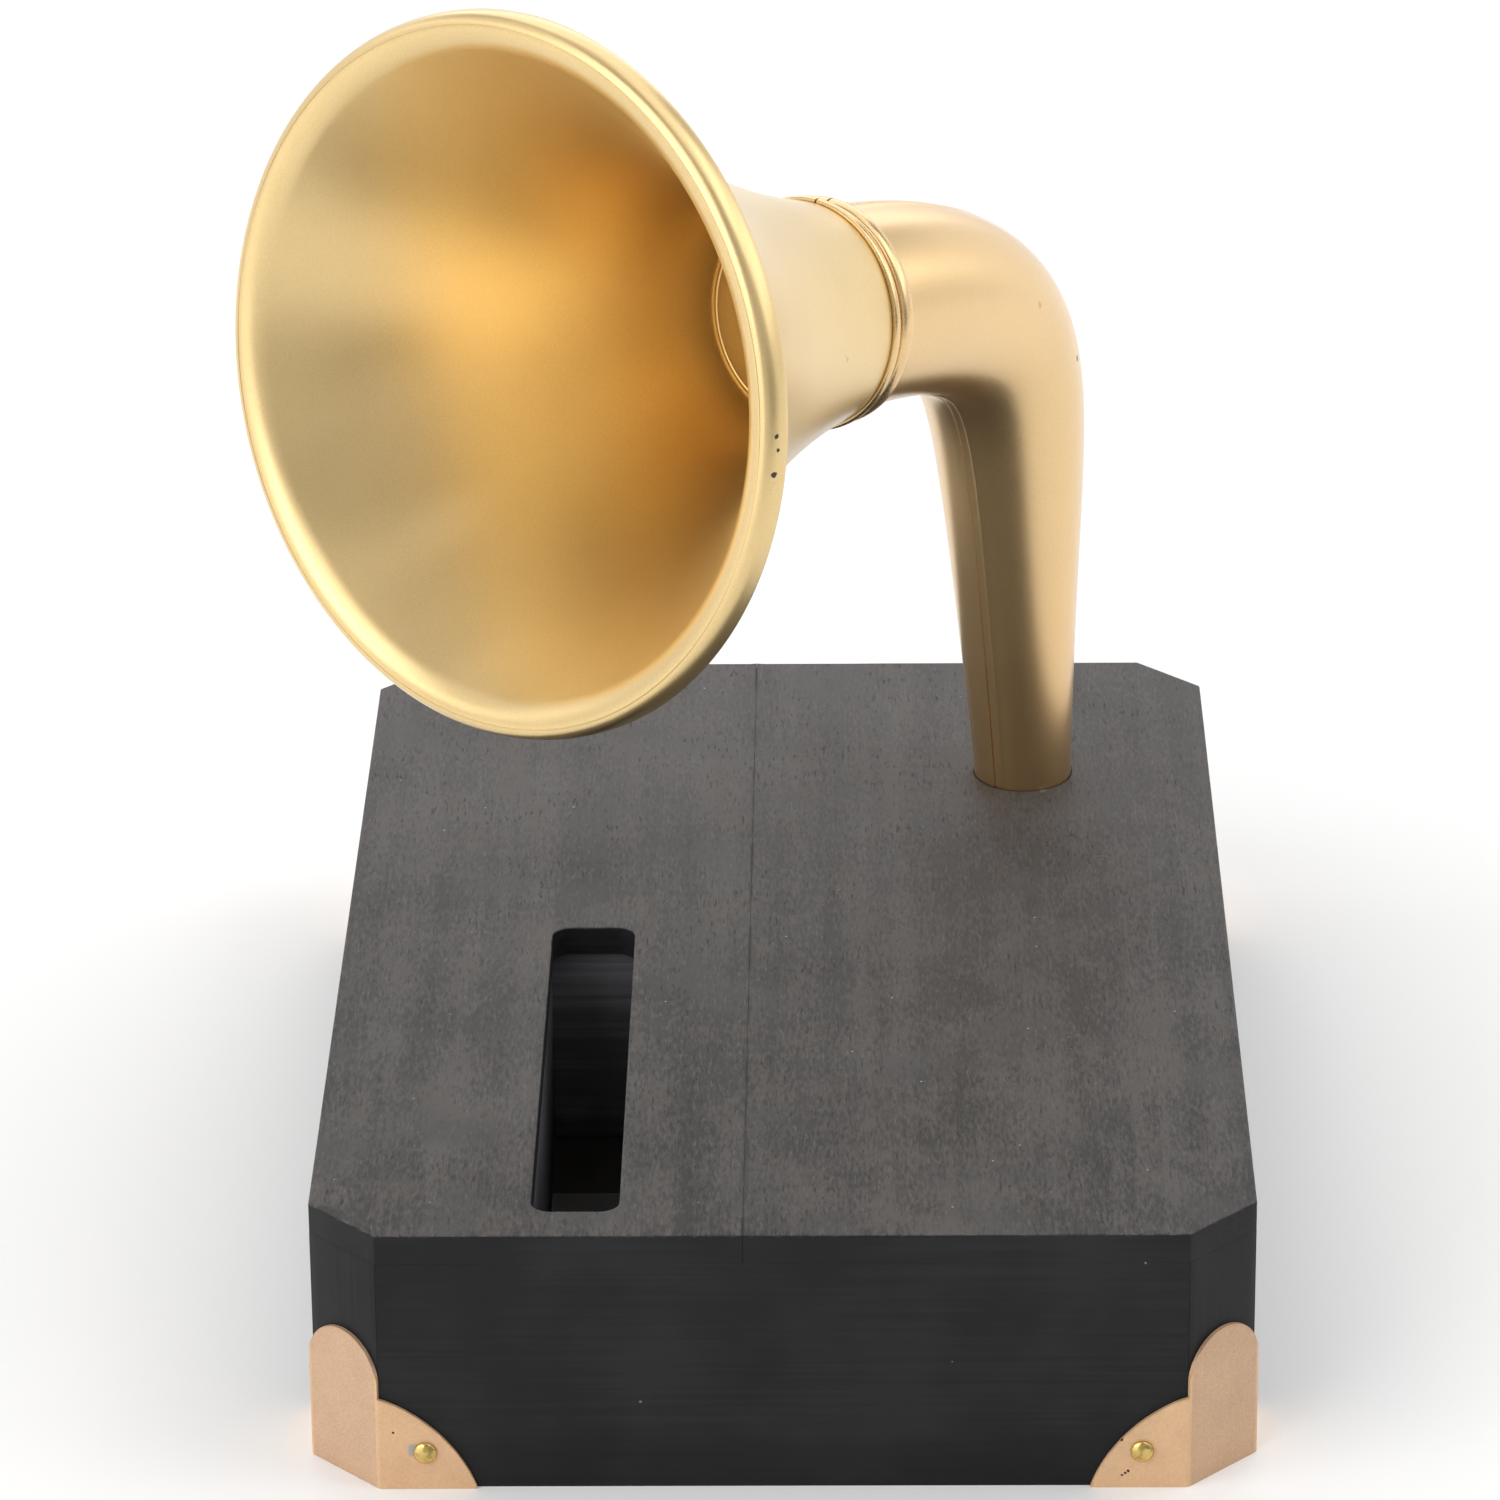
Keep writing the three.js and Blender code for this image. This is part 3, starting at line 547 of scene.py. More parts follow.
def circle(x, y, radius, steps):
    """A clockwise circle, for a hole."""
    turn = -2 * math.pi / steps
    angles = [turn * k for k in range(steps)]
    return [Vector((x + radius * math.cos(angle), y + radius * math.sin(angle))) for angle in angles]


def rectangle(low, high, radius, spacing):
    corners = [(low[0], low[1]), (high[0], low[1]), (high[0], high[1]), (low[0], high[1])]
    return outline([(*corner, radius) for corner in corners], 3, spacing)


def into_material(points):
    """For each point of an outline, the way to its left, mitred: into the material."""
    ways = []
    for i, here in enumerate(points):
        into = (here - points[i - 1]).normalized()
        out = (points[(i + 1) % len(points)] - here).normalized()
        left = Vector((-into.y - out.y, into.x + out.x)).normalized()
        ways.append(left / max(0.3, left.dot(Vector((-out.y, out.x)))))
    return ways


EDGE_REACH = 1.6
EDGE_UNEVENNESS = 0.35
UNEVEN_PER_MM = 0.12


def room_inside(points, ways):
    """For each point of an outline, how far it can move in before it meets a neighbour."""
    reaches = []
    for i, here in enumerate(points):
        edge = here - points[i - 1]
        closing = (ways[i - 1] - ways[i]).dot(edge)
        reaches.append(edge.length_squared / closing if closing > 1e-9 else math.inf)
    return [min(reach, reaches[(i + 1) % len(points)]) for i, reach in enumerate(reaches)]


def skin(work, first, second):
    """Smooth faces between two closed rings of vertices."""
    faces = []
    for i in range(len(first)):
        faces.append(work.faces.new((first[i - 1], first[i], second[i], second[i - 1])))
        faces[-1].smooth = True
    return faces


def worn_slab(outer, holes, bottom, top, edges, place=METRES, slots=(0, 0), care=None, work=None):
    """A slab with rounded, slightly uneven edges, in a new mesh or in work. Holes run clockwise.

    edges are the rounding radii at the bottom and top, and slots the material indices of the top face and
    of the rest. "wear" is 1 on the edges and 0 beside them. care says, for a point of the outline, what
    share of the rounding and of the wear its edge gets.
    """
    if work is None:
        work = bmesh.new()
        work.verts.layers.float.new("wear")
    wear = work.verts.layers.float["wear"]
    thickness = top - bottom
    arc = [math.radians(angle) for angle in (90, 60, 30, 0)]
    rounded = [(1 - math.cos(angle), 1 - math.sin(angle), 1.0) for angle in arc]
    rounded = [(EDGE_REACH, 0.0, 0.0), *rounded, (0.0, EDGE_REACH, 0.0)]
    levels = [(*ring, 0) for ring in rounded] + [(*ring, 1) for ring in reversed(rounded)]
    rims = {0: [], len(levels) - 1: []}
    for loop in [outer, *holes]:
        ways = into_material(loop)
        cares = [care(point) if care else (1.0, 1.0) for point in loop]
        spots = [Vector((*(point * UNEVEN_PER_MM), top * 3.1)) for point in loop]
        uneven = [1 + EDGE_UNEVENNESS * noise.noise(spot) for spot in spots]
        rooms = room_inside(loop, ways)
        rings = []
        for inset, level, worn, at_top in levels:
            ring = []
            for point, way, share, room, (rounding, wearing) in zip(loop, ways, uneven, rooms, cares):
                radius = min(edges[at_top] * share * rounding, room / (EDGE_REACH + 0.1), thickness / 4)
                z = top - level * radius if at_top else bottom + level * radius
                flat = point + way * (inset * radius)
                vertex = work.verts.new(place @ Vector((flat.x, flat.y, z)))
                vertex[wear] = worn * wearing
                ring.append(vertex)
            rings.append(ring)
        for k, (lower, upper) in enumerate(zip(rings, rings[1:])):
            on_top = k >= len(rings) - len(arc)
            for face in skin(work, lower, upper):
                face.material_index = slots[0] if on_top else slots[1]
        for k, rim in rims.items():
            rim += [work.edges.get((rings[k][i - 1], rings[k][i])) for i in range(len(loop))]
    for k, rim in rims.items():
        for face in bmesh.ops.triangle_fill(work, use_beauty=True, edges=rim)["geom"]:
            if isinstance(face, bmesh.types.BMFace):
                face.smooth = False
                face.material_index = slots[0] if k else slots[1]
    return work


def turned(profile, place, segments=FINE_SEGMENTS, slit=0.0):
    """A closed profile of (distance along, radius) points turned about local X.

    With a slit, in millimetres at the largest radius, the ring is open at its local +Z side.
    """
    work = bmesh.new()
    gap = slit / max(radius for _, radius in profile)
    steps = segments + 1 if slit else segments
    rings = []
    for k in range(steps):
        angle = gap / 2 + (2 * math.pi - gap) * k / segments
        across, up = math.sin(angle), math.cos(angle)
        rings.append([work.verts.new(place @ Vector((x, r * across, r * up))) for x, r in profile])
    for first, second in zip(rings, rings[1:] if slit else rings[1:] + rings[:1]):
        skin(work, first, second)
    if slit:
        work.faces.new(rings[0])
        work.faces.new(rings[-1])
    bmesh.ops.remove_doubles(work, verts=work.verts, dist=1e-7)
    return work


def block(node, radius, edges, spacing=2.0, holes=()):
    """A slab that fills the box of its CAD node. radius is that of its upright edges."""
    low, high = frame_box(node)
    return worn_slab(rectangle(low, high, radius, spacing), holes, low.z, high.z, edges)


# ---- wooden box


def board_outline(glued, side):
    """The top board on one side of the glue line: square there, and chamfered at the box's corners."""
    points = [(glued, side * HALF_DEPTH, 0.05), (glued, -side * HALF_DEPTH, 0.05)]
    ends = [(FOLD_X, -HALF_DEPTH), (HALF_WIDTH, -FOLD_Y), (HALF_WIDTH, FOLD_Y), (FOLD_X, HALF_DEPTH)]
    points += [(side * x, side * y, 0.5) for x, y in ends]
    return outline(points, 4, 1.0)


def slot_outline():
    """The phone slot, clockwise. It spans the felt pad's width, and ends in line with the well."""
    pad_low, pad_high = frame_box("phone_pad")
    back = frame_box("well_cheek_left")[1].y - SLOT_EASE
    front = pad_low.y + SLOT_EASE
    left, right, radius = pad_low.x, pad_high.x, SLOT_CORNER_RADIUS
    corners = [(left, front, radius), (left, back, radius), (right, back, radius), (right, front, radius)]
    return outline(corners, 8, 1.0)


def make_top_boards():
    top, side = stained_top(), stained_side("X")
    bore_mouth = circle(FOOT.x, FOOT.y, BORE_MOUTH_RADIUS, 128)
    boards = [("left", -1, slot_outline()), ("right", 1, bore_mouth)]

    def care(point):
        """The glue line is close and sharp, and so is the hole's mouth."""
        if abs(point.x - GLUE_LINE) < 0.3:
            return 0.12, 0.0
        in_hole = (point - FOOT.xy).length < BORE_RADIUS + 0.1
        return (0.5, 0.0) if in_hole else (1.0, 1.0)

    for name, sign, hole in boards:
        outer = board_outline(GLUE_LINE + sign * HAIRLINE, sign)
        work = worn_slab(outer, [hole], BOARD_BOTTOM, BOX_TOP, (0.01, 0.2), slots=(0, 1), care=care)
        add_piece(f"top_board_{name}", work, top, side)


def make_walls():
    """Four wall panels. Each is drawn lying down, its outer face up, and stood up against its side."""
    height = BOARD_BOTTOM - HAIRLINE
    finishes = {axis: stained_side(axis) for axis in "XY"}

    def care(point):
        """Close joints with the top and the posts, the ends a little worn."""
        return (0.5, 0.0) if min(point.y, height - point.y) < 0.2 else (1.0, 0.3)

    for quarter, side in enumerate(("front", "right", "rear", "left")):
        if quarter % 2:
            half_length, distance, axis, nails = FOLD_Y, HALF_WIDTH, "Y", ()
        else:
            half_length, distance, axis, nails = FOLD_X, HALF_DEPTH, "X", (-1, 1)
        outer = rectangle((-half_length, 0), (half_length, height), 0.06, 1.5)
        nail_x = half_length - NAIL["from_fold"]
        holes = [circle(sign * nail_x, NAIL["height"], NAIL["shank"] + 0.3, 16) for sign in nails]
        upright = Matrix.Translation((0, -distance, 0)) @ Matrix.Rotation(math.pi / 2, 4, "X")
        place = METRES @ Matrix.Rotation(quarter * math.pi / 2, 4, "Z") @ upright
        work = worn_slab(outer, holes, -WALL, 0, (0.02, 0.03), place, care=care)
        add_piece(f"{side}_panel", work, finishes[axis])


def make_posts():
    """The glue block behind each chamfer. Its outer face is the chamfer."""
    finish, height = stained_side("Z"), BOARD_BOTTOM - HAIRLINE
    inside_x, inside_y = HALF_WIDTH - WALL - HAIRLINE, HALF_DEPTH - WALL - HAIRLINE
    fold = (FOLD_X + HAIRLINE, FOLD_Y + HAIRLINE)
    back_x, back_y = inside_x - POST_SIDE, inside_y - POST_SIDE
    corners = [(fold[0], HALF_DEPTH, 0.05), (fold[0], inside_y, 0.05), (back_x, inside_y, 0.3)]
    corners += [(back_x, back_y, 0.3), (inside_x, back_y, 0.3), (inside_x, fold[1], 0.05)]
    corners += [(HALF_WIDTH, fold[1], 0.05)]
    for corner, sx, sy in CORNERS:
        points = [(sx * x, sy * y, radius) for x, y, radius in corners]
        if sx * sy < 0:
            points.reverse()
        work = worn_slab(outline(points, 3, 1.5), [], 0, height, (0.2, 0.01), care=lambda point: (1.0, 0.0))
        add_piece(f"corner_post_{corner}", work, finish)


def middle_of(node):
    """The middle of a CAD node's box, seen from above."""
    low, high = frame_box(node)
    return ((low + high) / 2).xy


def make_bottom():
    """The bottom board, notched round the posts and drilled for the screws, and its two cleats."""
    low, high = frame_box("bottom_board")
    notch_x, notch_y = (frame_box("corner_post_rear_right")[0] - Vector((0.1, 0.1, 0))).xy
    quarter = [(high.x, notch_y), (notch_x, notch_y), (notch_x, high.y)]
    points = quarter + [(-x, y) for x, y in reversed(quarter)]
    points += [(-x, -y) for x, y in quarter] + [(x, -y) for x, y in reversed(quarter)]
    outer = outline([(x, y, 0.2) for x, y in points], 3, 2.0)
    places = [middle_of(f"bottom_screw_{corner}") for corner, _, _ in CORNERS]
    holes = [circle(*place, SCREW["head"] + 0.2, 48) for place in places]
    work = worn_slab(outer, holes, low.z, high.z, (0.2, 0.2))
    # Painted light: the bottom board gets a stain five times lighter, standing in for light that reaches the
    # dark inside through the slot.
    add_piece("bottom_board", work, stained_side("Y", painted_light_lift=5))
    for side, sign in (("left", -1), ("right", 1)):
        node = f"bottom_cleat_{side}"
        drilled = [circle(*place, SCREW["shank"] + 0.3, 24) for place in places if place.x * sign > 0]
        add_piece(node, block(node, 0.3, (0.3, 0.3), holes=drilled), plain_wood("Y"))


# Painted light: the well's pieces get a stain this many times lighter, standing in for light scattered into
# the slot.
WELL_PAINTED_LIGHT_LIFT = 10


def make_well():
    """The two cheeks and the stop that hold a phone upright, and the felt it stands on."""
    for node, axis in (("well_cheek_left", "Y"), ("well_cheek_right", "Y"), ("well_back_stop", "X")):
        add_piece(node, block(node, 0.2, (0.2, 0.2)), stained_side(axis, painted_light_lift=WELL_PAINTED_LIGHT_LIFT))
    pad = add_piece("phone_pad", block("phone_pad", 0.5, (0.2, 0.6), spacing=1.0), black_felt(), sharp=60)


def make_socket():
    """The block that holds the horn's foot, with its ledge, and the felt washer on the ledge."""
    felt_low, felt_high = frame_box("socket_felt")
    ledge_top = felt_low.z - 0.1
    square = rectangle(SOCKET_LOW, SOCKET_HIGH, 0.3, 2.0)
    bore = circle(FOOT.x, FOOT.y, BORE_RADIUS, 96)
    work = worn_slab(square, [bore], ledge_top, SOCKET_HIGH.z, (0.02, 0.3))
    ledge_hole = circle(FOOT.x, FOOT.y, LEDGE_HOLE_RADIUS, 96)
    worn_slab(square, [ledge_hole], SOCKET_LOW.z, ledge_top, (0.3, 0.02), work=work)
    add_piece("horn_socket", work, plain_wood("Y"))
    washer = circle(FOOT.x, FOOT.y, (felt_high.x - felt_low.x) / 2, 96)[::-1]
    work = worn_slab(washer, [ledge_hole], felt_low.z, felt_high.z, (0.25, 0.25))
    add_piece("socket_felt", work, black_felt(), sharp=60)


def make_screws():
    """Countersunk screws, heads down, with a cross recess."""
    metal = bright_metal("screw_steel", (0.55, 0.56, 0.58), 0.3)
    head, shank, recess, pitch = (SCREW[key] for key in ("head", "shank", "recess", "pitch"))
    profile = [(recess, 0.0), (recess, head - 0.15), (recess + 0.15, head), (recess + 0.35, head)]
    thread = recess + 3 * pitch
    profile += [(recess + SCREW["depth"], shank), (thread, shank)]
    turns, taper = 7, 0.45
    for k in range(turns):
        start = thread + pitch * k
        size = shank * (1 - taper * k / turns)
        core = 0.72 * size
        profile += [(start + 0.2, core), (start + 0.5, core), (start + 0.7, size), (start + pitch, size)]
    profile += [(SCREW["length"], 0.0)]
    for corner, _, _ in CORNERS:
        node = f"bottom_screw_{corner}"
        upright = METRES @ Matrix.Translation(middle_of(node).to_3d())
        place = upright @ Matrix.Rotation(-math.pi / 2, 4, "Y")
        cut_cross(add_piece(node, turned(profile, place, 48), metal), upright)


def cut_cross(piece, upright):
    """Cuts a cross recess into a screw's head from below."""
    cutter = bmesh.new()
    for turn in (0, math.pi / 2):
        # The second bar is a hair deeper, so that no two faces of the cutter lie in one plane.
        tall = 2 * (SCREW["recess"] + SCREW_CROSS["depth"] + 0.01 * turn)
        size = Matrix.Diagonal((SCREW_CROSS["length"], SCREW_CROSS["width"], tall, 1))
        bmesh.ops.create_cube(cutter, size=1, matrix=upright @ Matrix.Rotation(turn, 4, "Z") @ size)
    mesh = bpy.data.meshes.new("cutter")
    cutter.to_mesh(mesh)
    cutter.free()
    tool = new_object("cutter", mesh)
    modifier = piece.modifiers.new("cut", "BOOLEAN")
    modifier.solver = "EXACT"
    modifier.use_self = True
    modifier.object = tool
    graph = bpy.context.evaluated_depsgraph_get()
    made = bpy.data.meshes.new_from_object(piece.evaluated_get(graph))
    piece.modifiers.clear()
    piece.data = made
    bpy.data.objects.remove(tool)
    bpy.data.meshes.remove(mesh)


# ---- corner brackets and nails

SHEET = BRACKET["thickness"]
DIAGONAL = math.sqrt(0.5)
HALF_CHAMFER = CHAMFER * DIAGONAL


def corner_place(sx, sy):
    """The corner's frame: origin on the chamfer's middle at the floor, -Y facing out."""
    middle = (sx * (HALF_WIDTH - CHAMFER / 2), sy * (HALF_DEPTH - CHAMFER / 2), 0)
    return METRES @ Matrix.Translation(middle) @ Matrix.Rotation(math.atan2(sx, -sy), 4, "Z")


def wing_top(distance):
    """Height of the bracket's wing at a distance from the fold: a flat arc down to the tip."""
    length, height, radius = BRACKET["length"], BRACKET["height"], BRACKET["arc"]
    half = math.hypot(length, height) / 2
    back = math.sqrt(radius**2 - half**2)
    centre = (length / 2 - back * height / (2 * half), height / 2 - back * length / (2 * half))
    return centre[1] + math.sqrt(max(0.0, radius**2 - (distance - centre[0]) ** 2))


def bracket_columns():
    """Half of the bracket, from the chamfer's middle out: (inner point, outer point, height) columns."""
    radius, gap = BRACKET["fold"], BRACKET["gap"]
    inset = radius - gap
    centre = Vector((HALF_CHAMFER - inset * (math.sqrt(2) - 1), inset))
    arch = HALF_CHAMFER + (gap + SHEET) * math.tan(math.pi / 8)
    panel_steps, fold_steps, wing_steps = 22, 8, 28
    wing_start, wing_end = 0.3, BRACKET["length"] - 0.12

    def arch_top(x):
        return BRACKET_ARCH_CENTRE + math.sqrt(arch**2 - min(x, arch) ** 2)

    columns = []
    last = math.asin(centre.x / arch)
    for k in range(panel_steps + 1):
        x = arch * math.sin(last * k / panel_steps)
        columns.append((Vector((x, -gap)), Vector((x, -gap - SHEET)), arch_top(x)))
    for k in range(1, fold_steps + 1):
        angle = math.pi / 4 * k / fold_steps
        way = Vector((math.sin(angle), -math.cos(angle)))
        inner, outer = centre + way * radius, centre + way * (radius + SHEET)
        past_middle = 2 * k / fold_steps - 1
        if past_middle <= 0:
            columns.append((inner, outer, arch_top((inner.x + outer.x) / 2)))
        if past_middle >= 0:
            columns.append((inner, outer, wing_top(past_middle * wing_start)))
    way = Vector((DIAGONAL, -DIAGONAL))
    ahead = Vector((DIAGONAL, DIAGONAL))
    for k in range(1, wing_steps + 1):
        distance = wing_start + (wing_end - wing_start) * k / wing_steps
        foot = Vector((HALF_CHAMFER, 0)) + ahead * distance
        columns.append((foot + way * gap, foot + way * (gap + SHEET), wing_top(distance)))
    return columns


def bracket_mesh(place):
    """A folded sheet bracket: an arched panel on the chamfer, a wing on each side, and soft folds."""
    half = bracket_columns()
    mirrored = [(Vector((-a.x, a.y)), Vector((-b.x, b.y)), top) for a, b, top in reversed(half[1:])]
    columns = mirrored + half
    work = bmesh.new()
    wear = work.verts.layers.float.new("wear")
    sandy = work.verts.layers.float.new("sandy")
    sheets = []
    for face in (0, 1):
        grid = []
        for column in columns:
            foot, top = column[face], column[2]
            heights = [0.0, 0.02 * top, 0.5 * top, max(0.75 * top, top - 0.45), top]
            row = [work.verts.new(place @ Vector((foot.x, foot.y, z))) for z in heights]
            for vertex in row:
                vertex[sandy] = float(abs(column[0].x) < HALF_CHAMFER - 0.2)
            row[0][wear] = 0.5
            row[-1][wear] = 1.0
            grid.append(row)
        for vertex in grid[0] + grid[-1]:
            vertex[wear] = 1.0
        sheets.append(grid)
    inner, outer = sheets
    top_row = len(inner[0]) - 1
    rim = []
    for i in range(len(columns) - 1):
        for k in range(top_row):
            for grid in sheets:
                work.faces.new((grid[i][k], grid[i + 1][k], grid[i + 1][k + 1], grid[i][k + 1]))
        for k in (0, top_row):
            work.faces.new((inner[i][k], inner[i + 1][k], outer[i + 1][k], outer[i][k]))
            rim.append((outer[i][k], outer[i + 1][k]))
    for i in (0, -1):
        for k in range(top_row):
            work.faces.new((inner[i][k], inner[i][k + 1], outer[i][k + 1], outer[i][k]))
            rim.append((outer[i][k], outer[i][k + 1]))
    rim = [work.edges.get(pair) for pair in rim]
    rounding = {"offset": 0.1 * MM, "segments": 2, "profile": 0.5}
    bmesh.ops.bevel(work, geom=rim, affect="EDGES", clamp_overlap=True, **rounding)
    for face in work.faces:
        face.smooth = True
    return work


def nail_places():
    """Each nail's corner and frame, with local X pointing out of the bracket's front or rear wing."""
    places = {}
    distance = NAIL["from_fold"]
    out = BRACKET["gap"] + SHEET + HAIRLINE
    for corner, sx, sy in CORNERS:
        side = sx * sy
        across = side * (HALF_CHAMFER + (distance + out) * DIAGONAL)
        at = Matrix.Translation((across, (distance - out) * DIAGONAL, NAIL["height"]))
        facing = Matrix.Rotation(-math.pi / 2 + side * math.pi / 4, 4, "Z")
        places[corner] = corner_place(sx, sy) @ at @ facing
    return places


def make_brackets():
    places = nail_places()

    def beside(corner, across, up):
        """A point on the bracket, given from its nail's middle."""
        return tuple(places[corner] @ Vector((0.0, across, up)) / MM)

    bare = [(beside("front_left", -1.2, 0.35), 0.95), (beside("rear_right", 1.3, -0.3), 0.8)]
    dark = [(beside("front_left", -4.0, 2.9), 0.16), (beside("front_right", -2.6, 1.6), 0.25)]
    dark += [(beside("front_right", -1.7 - 0.4 * k, -2.9 - 0.3 * k), 0.2) for k in range(3)]
    paint = copper_paint(bare, dark)
    for corner, sx, sy in CORNERS:
        add_piece(f"corner_bracket_{corner}", bracket_mesh(corner_place(sx, sy)), paint, sharp=50)


def make_nails():
    """Domed brass nails, each head dented a little by the hammer."""
    brass = bright_metal("nail_brass", (0.72, 0.52, 0.18), 0.2)
    radius, dome, shank, tip = NAIL["radius"], NAIL["dome"], NAIL["shank"], -NAIL["length"]
    rim = 0.14
    profile = [(tip, 0.0), (tip + 0.8, shank), (0.0, shank), (0.0, radius - 0.12), (0.06, radius - 0.03)]
    steps = 14
    for k in range(steps + 1):
        angle = math.pi / 2 * k / steps
        profile.append((rim + (dome - rim) * math.sin(angle), radius * math.cos(angle)))
    for corner, place in nail_places().items():
        work = turned(profile, place, 48)
        back = place.inverted()
        for vertex in work.verts:
            if (back @ vertex.co).x > rim + 0.06:
                dent = 0.05 * noise.noise(vertex.co * 900)
                vertex.co += place.to_3x3() @ Vector((dent, 0, 0))
        add_piece(f"nail_{corner}", work, brass, sharp=45)


# ---- horn


def elbow_line():
    """Stations of the neck: (centre, direction, outer radius), in the swivel plane, from the foot up."""
    bend_start = Vector((LEG_LEAN * LEG_STRAIGHT, 0, LEG_STRAIGHT))
    corner_height = AXIS_HEIGHT / (1 - LEG_LEAN * math.tan(AXIS_TILT))
    corner = Vector((LEG_LEAN * corner_height, 0, corner_height))
    end = Vector((math.cos(AXIS_TILT) * ELBOW_END, 0, AXIS_HEIGHT + math.sin(AXIS_TILT) * ELBOW_END))
    handles = (bend_start.lerp(corner, BEND_HANDLES[0]), end.lerp(corner, BEND_HANDLES[1]))
    points = [bend_start * k / 24 for k in range(24)] + bezier_points((bend_start, *handles, end), 110)
    lengths = [0.0]
    for here, after in zip(points, points[1:]):
        lengths.append(lengths[-1] + (after - here).length)
    controls = [Vector((radius, 0)) for radius in ELBOW_RADII]
    upright = Vector((0, 0, 1))
    tip = -SPIGOT_DEPTH
    eased = [(tip, 0.5), (tip + 0.3, 0.2), (tip + 0.8, 0.0), (-8.0, 0.0), (-1.0, 0.0)]
    stations = [(Vector((0, 0, z)), upright, ELBOW_RADII[0] - ease) for z, ease in eased]
    for i, point in enumerate(points):
        before, after = points[max(0, i - 1)], points[min(len(points) - 1, i + 1)]
        direction = upright if i == 0 else (after - before).normalized()
        stations.append((point, direction, bezier(controls, lengths[i] / lengths[-1]).x))
    return stations


def seam_relief(distance, has_land):
    """How far the surface stands back at a distance from the seam. One half has a land and a thin ridge."""
    relief = SEAM["edge"] * max(0.0, 1 - distance / SEAM["edge"]) ** 2
    if has_land:
        across = (distance - SEAM["land"]) / SEAM_RIDGE["width"]
        if across < 0:
            relief += SEAM["step"]
        elif across < 1:
            relief += SEAM["step"] * (1 - across) - SEAM_RIDGE["height"] * math.sin(math.pi * across)
    return relief


def elbow_half(side):
    """Half of the hollow neck, on one side of the seam."""
    near = [0.0, 0.04, 0.1, 0.2, 0.5, 0.9]
    near += [SEAM["land"] + SEAM_RIDGE["width"] * k / 6 for k in range(7)]
    middle, inner_steps = 28, 24
    work = bmesh.new()
    rings = []
    across = Vector((0, 1, 0))
    for centre, direction, radius in elbow_line():
        up = across.cross(direction)
        turned_up = up * math.cos(SEAM["turn"]) + across * math.sin(SEAM["turn"])
        turned_across = across * math.cos(SEAM["turn"]) - up * math.sin(SEAM["turn"])
        half_round = math.pi * radius
        first, last = near[-1], half_round - near[-1]
        distances = near + [first + (last - first) * k / middle for k in range(1, middle)]
        distances += [half_round - distance for distance in reversed(near)]
        outside = [(d / radius, seam_relief(min(d, half_round - d), side > 0)) for d in distances]
        inside = [(math.pi * (1 - k / inner_steps), ELBOW_WALL) for k in range(inner_steps + 1)]
        ring = []
        for angle, depth in outside + inside:
            way = turned_up * math.cos(angle) + turned_across * (side * math.sin(angle))
            point = centre + way * (radius - depth) + turned_across * (side * SEAM["gap"] / 2)
            ring.append(work.verts.new(HORN @ point))
        rings.append(ring)
    for first, second in zip(rings, rings[1:]):
        skin(work, first, second)
    work.faces.new(rings[0])
    work.faces.new(rings[-1])
    return work


def bell_curve(start, steps):
    """The bell's outside, from a distance along the axis to the rim: points (distance, radius)."""
    neck = BELL["neck"]
    length = BELL["rim"] - neck
    middle = (neck + length / 2, BELL["neck_radius"] + BELL["slope"] * length / 2)
    controls = ((neck, BELL["neck_radius"]), middle, (BELL["rim"], BELL["rim_radius"]))
    first = (start - neck) / length
    return [bezier(controls, first + (1 - first) * k / steps) for k in range(steps + 1)]


def bell_profile():
    """The bell's section as (distance along the axis, radius): outside, lip with its mould line, inside."""
    rim, rim_radius = BELL["rim"], BELL["rim_radius"]
    outside = bell_curve(BELL_START, 70)
    inside = []
    for k, point in enumerate(outside):
        before, after = outside[max(0, k - 1)], outside[min(len(outside) - 1, k + 1)]
        way = (after - before).normalized()
        inside.append(point + Vector((way.y, -way.x)) * BELL["wall"])
    inside[0].x = BELL_START
    way = (inside[-1] - inside[-2]).normalized()
    back = [
        (rim - 0.25, rim_radius + 1.1),
        (rim - 0.4, LIP_RADIUS - 1.5),
        (rim - 0.4, LIP_RADIUS - 0.25),
        (rim - 0.32, LIP_RADIUS - 0.07),
        (rim - 0.15, LIP_RADIUS),
        (rim + 0.45, LIP_RADIUS),
    ]
    start, pull = (rim + 0.8, LIP_RADIUS - 0.02), (rim + 4.0, LIP_RADIUS - 0.2)
    roll = bezier_points((start, pull, inside[-1] + way * 3.6, inside[-1]), 60)
    lip = mould_line(roll, share=0.47, width=0.16, height=0.08)
    return [tuple(point) for point in [*outside[:-1], *back, *lip, *reversed(inside[:-1])]]


def mould_line(points, share, width, height):
    """The points of a curve with a thin raised line at a share of its length, on the curve's left."""
    index = int(share * (len(points) - 1))
    here, after = points[index], points[index + 1]
    along_line = (after - here).normalized() * width
    out = Vector((-along_line.y, along_line.x)).normalized() * height
    line = [here - along_line / 2, here - along_line / 4 + out]
    line += [here + along_line / 4 + out, here + along_line / 2]
    return points[:index] + line + points[index + 1 :]


def rounded_ring(middle, half, ring, steps, power=1.0):
    """A ring's rounded outside, from its front to its back, half to each side of its middle."""
    points = []
    for k in range(steps + 1):
        angle = math.pi * k / steps
        fall = ring["depth"] * (1 - math.sin(angle) ** power)
        points.append((middle + half * math.cos(angle), ring["radius"] - fall))
    return points


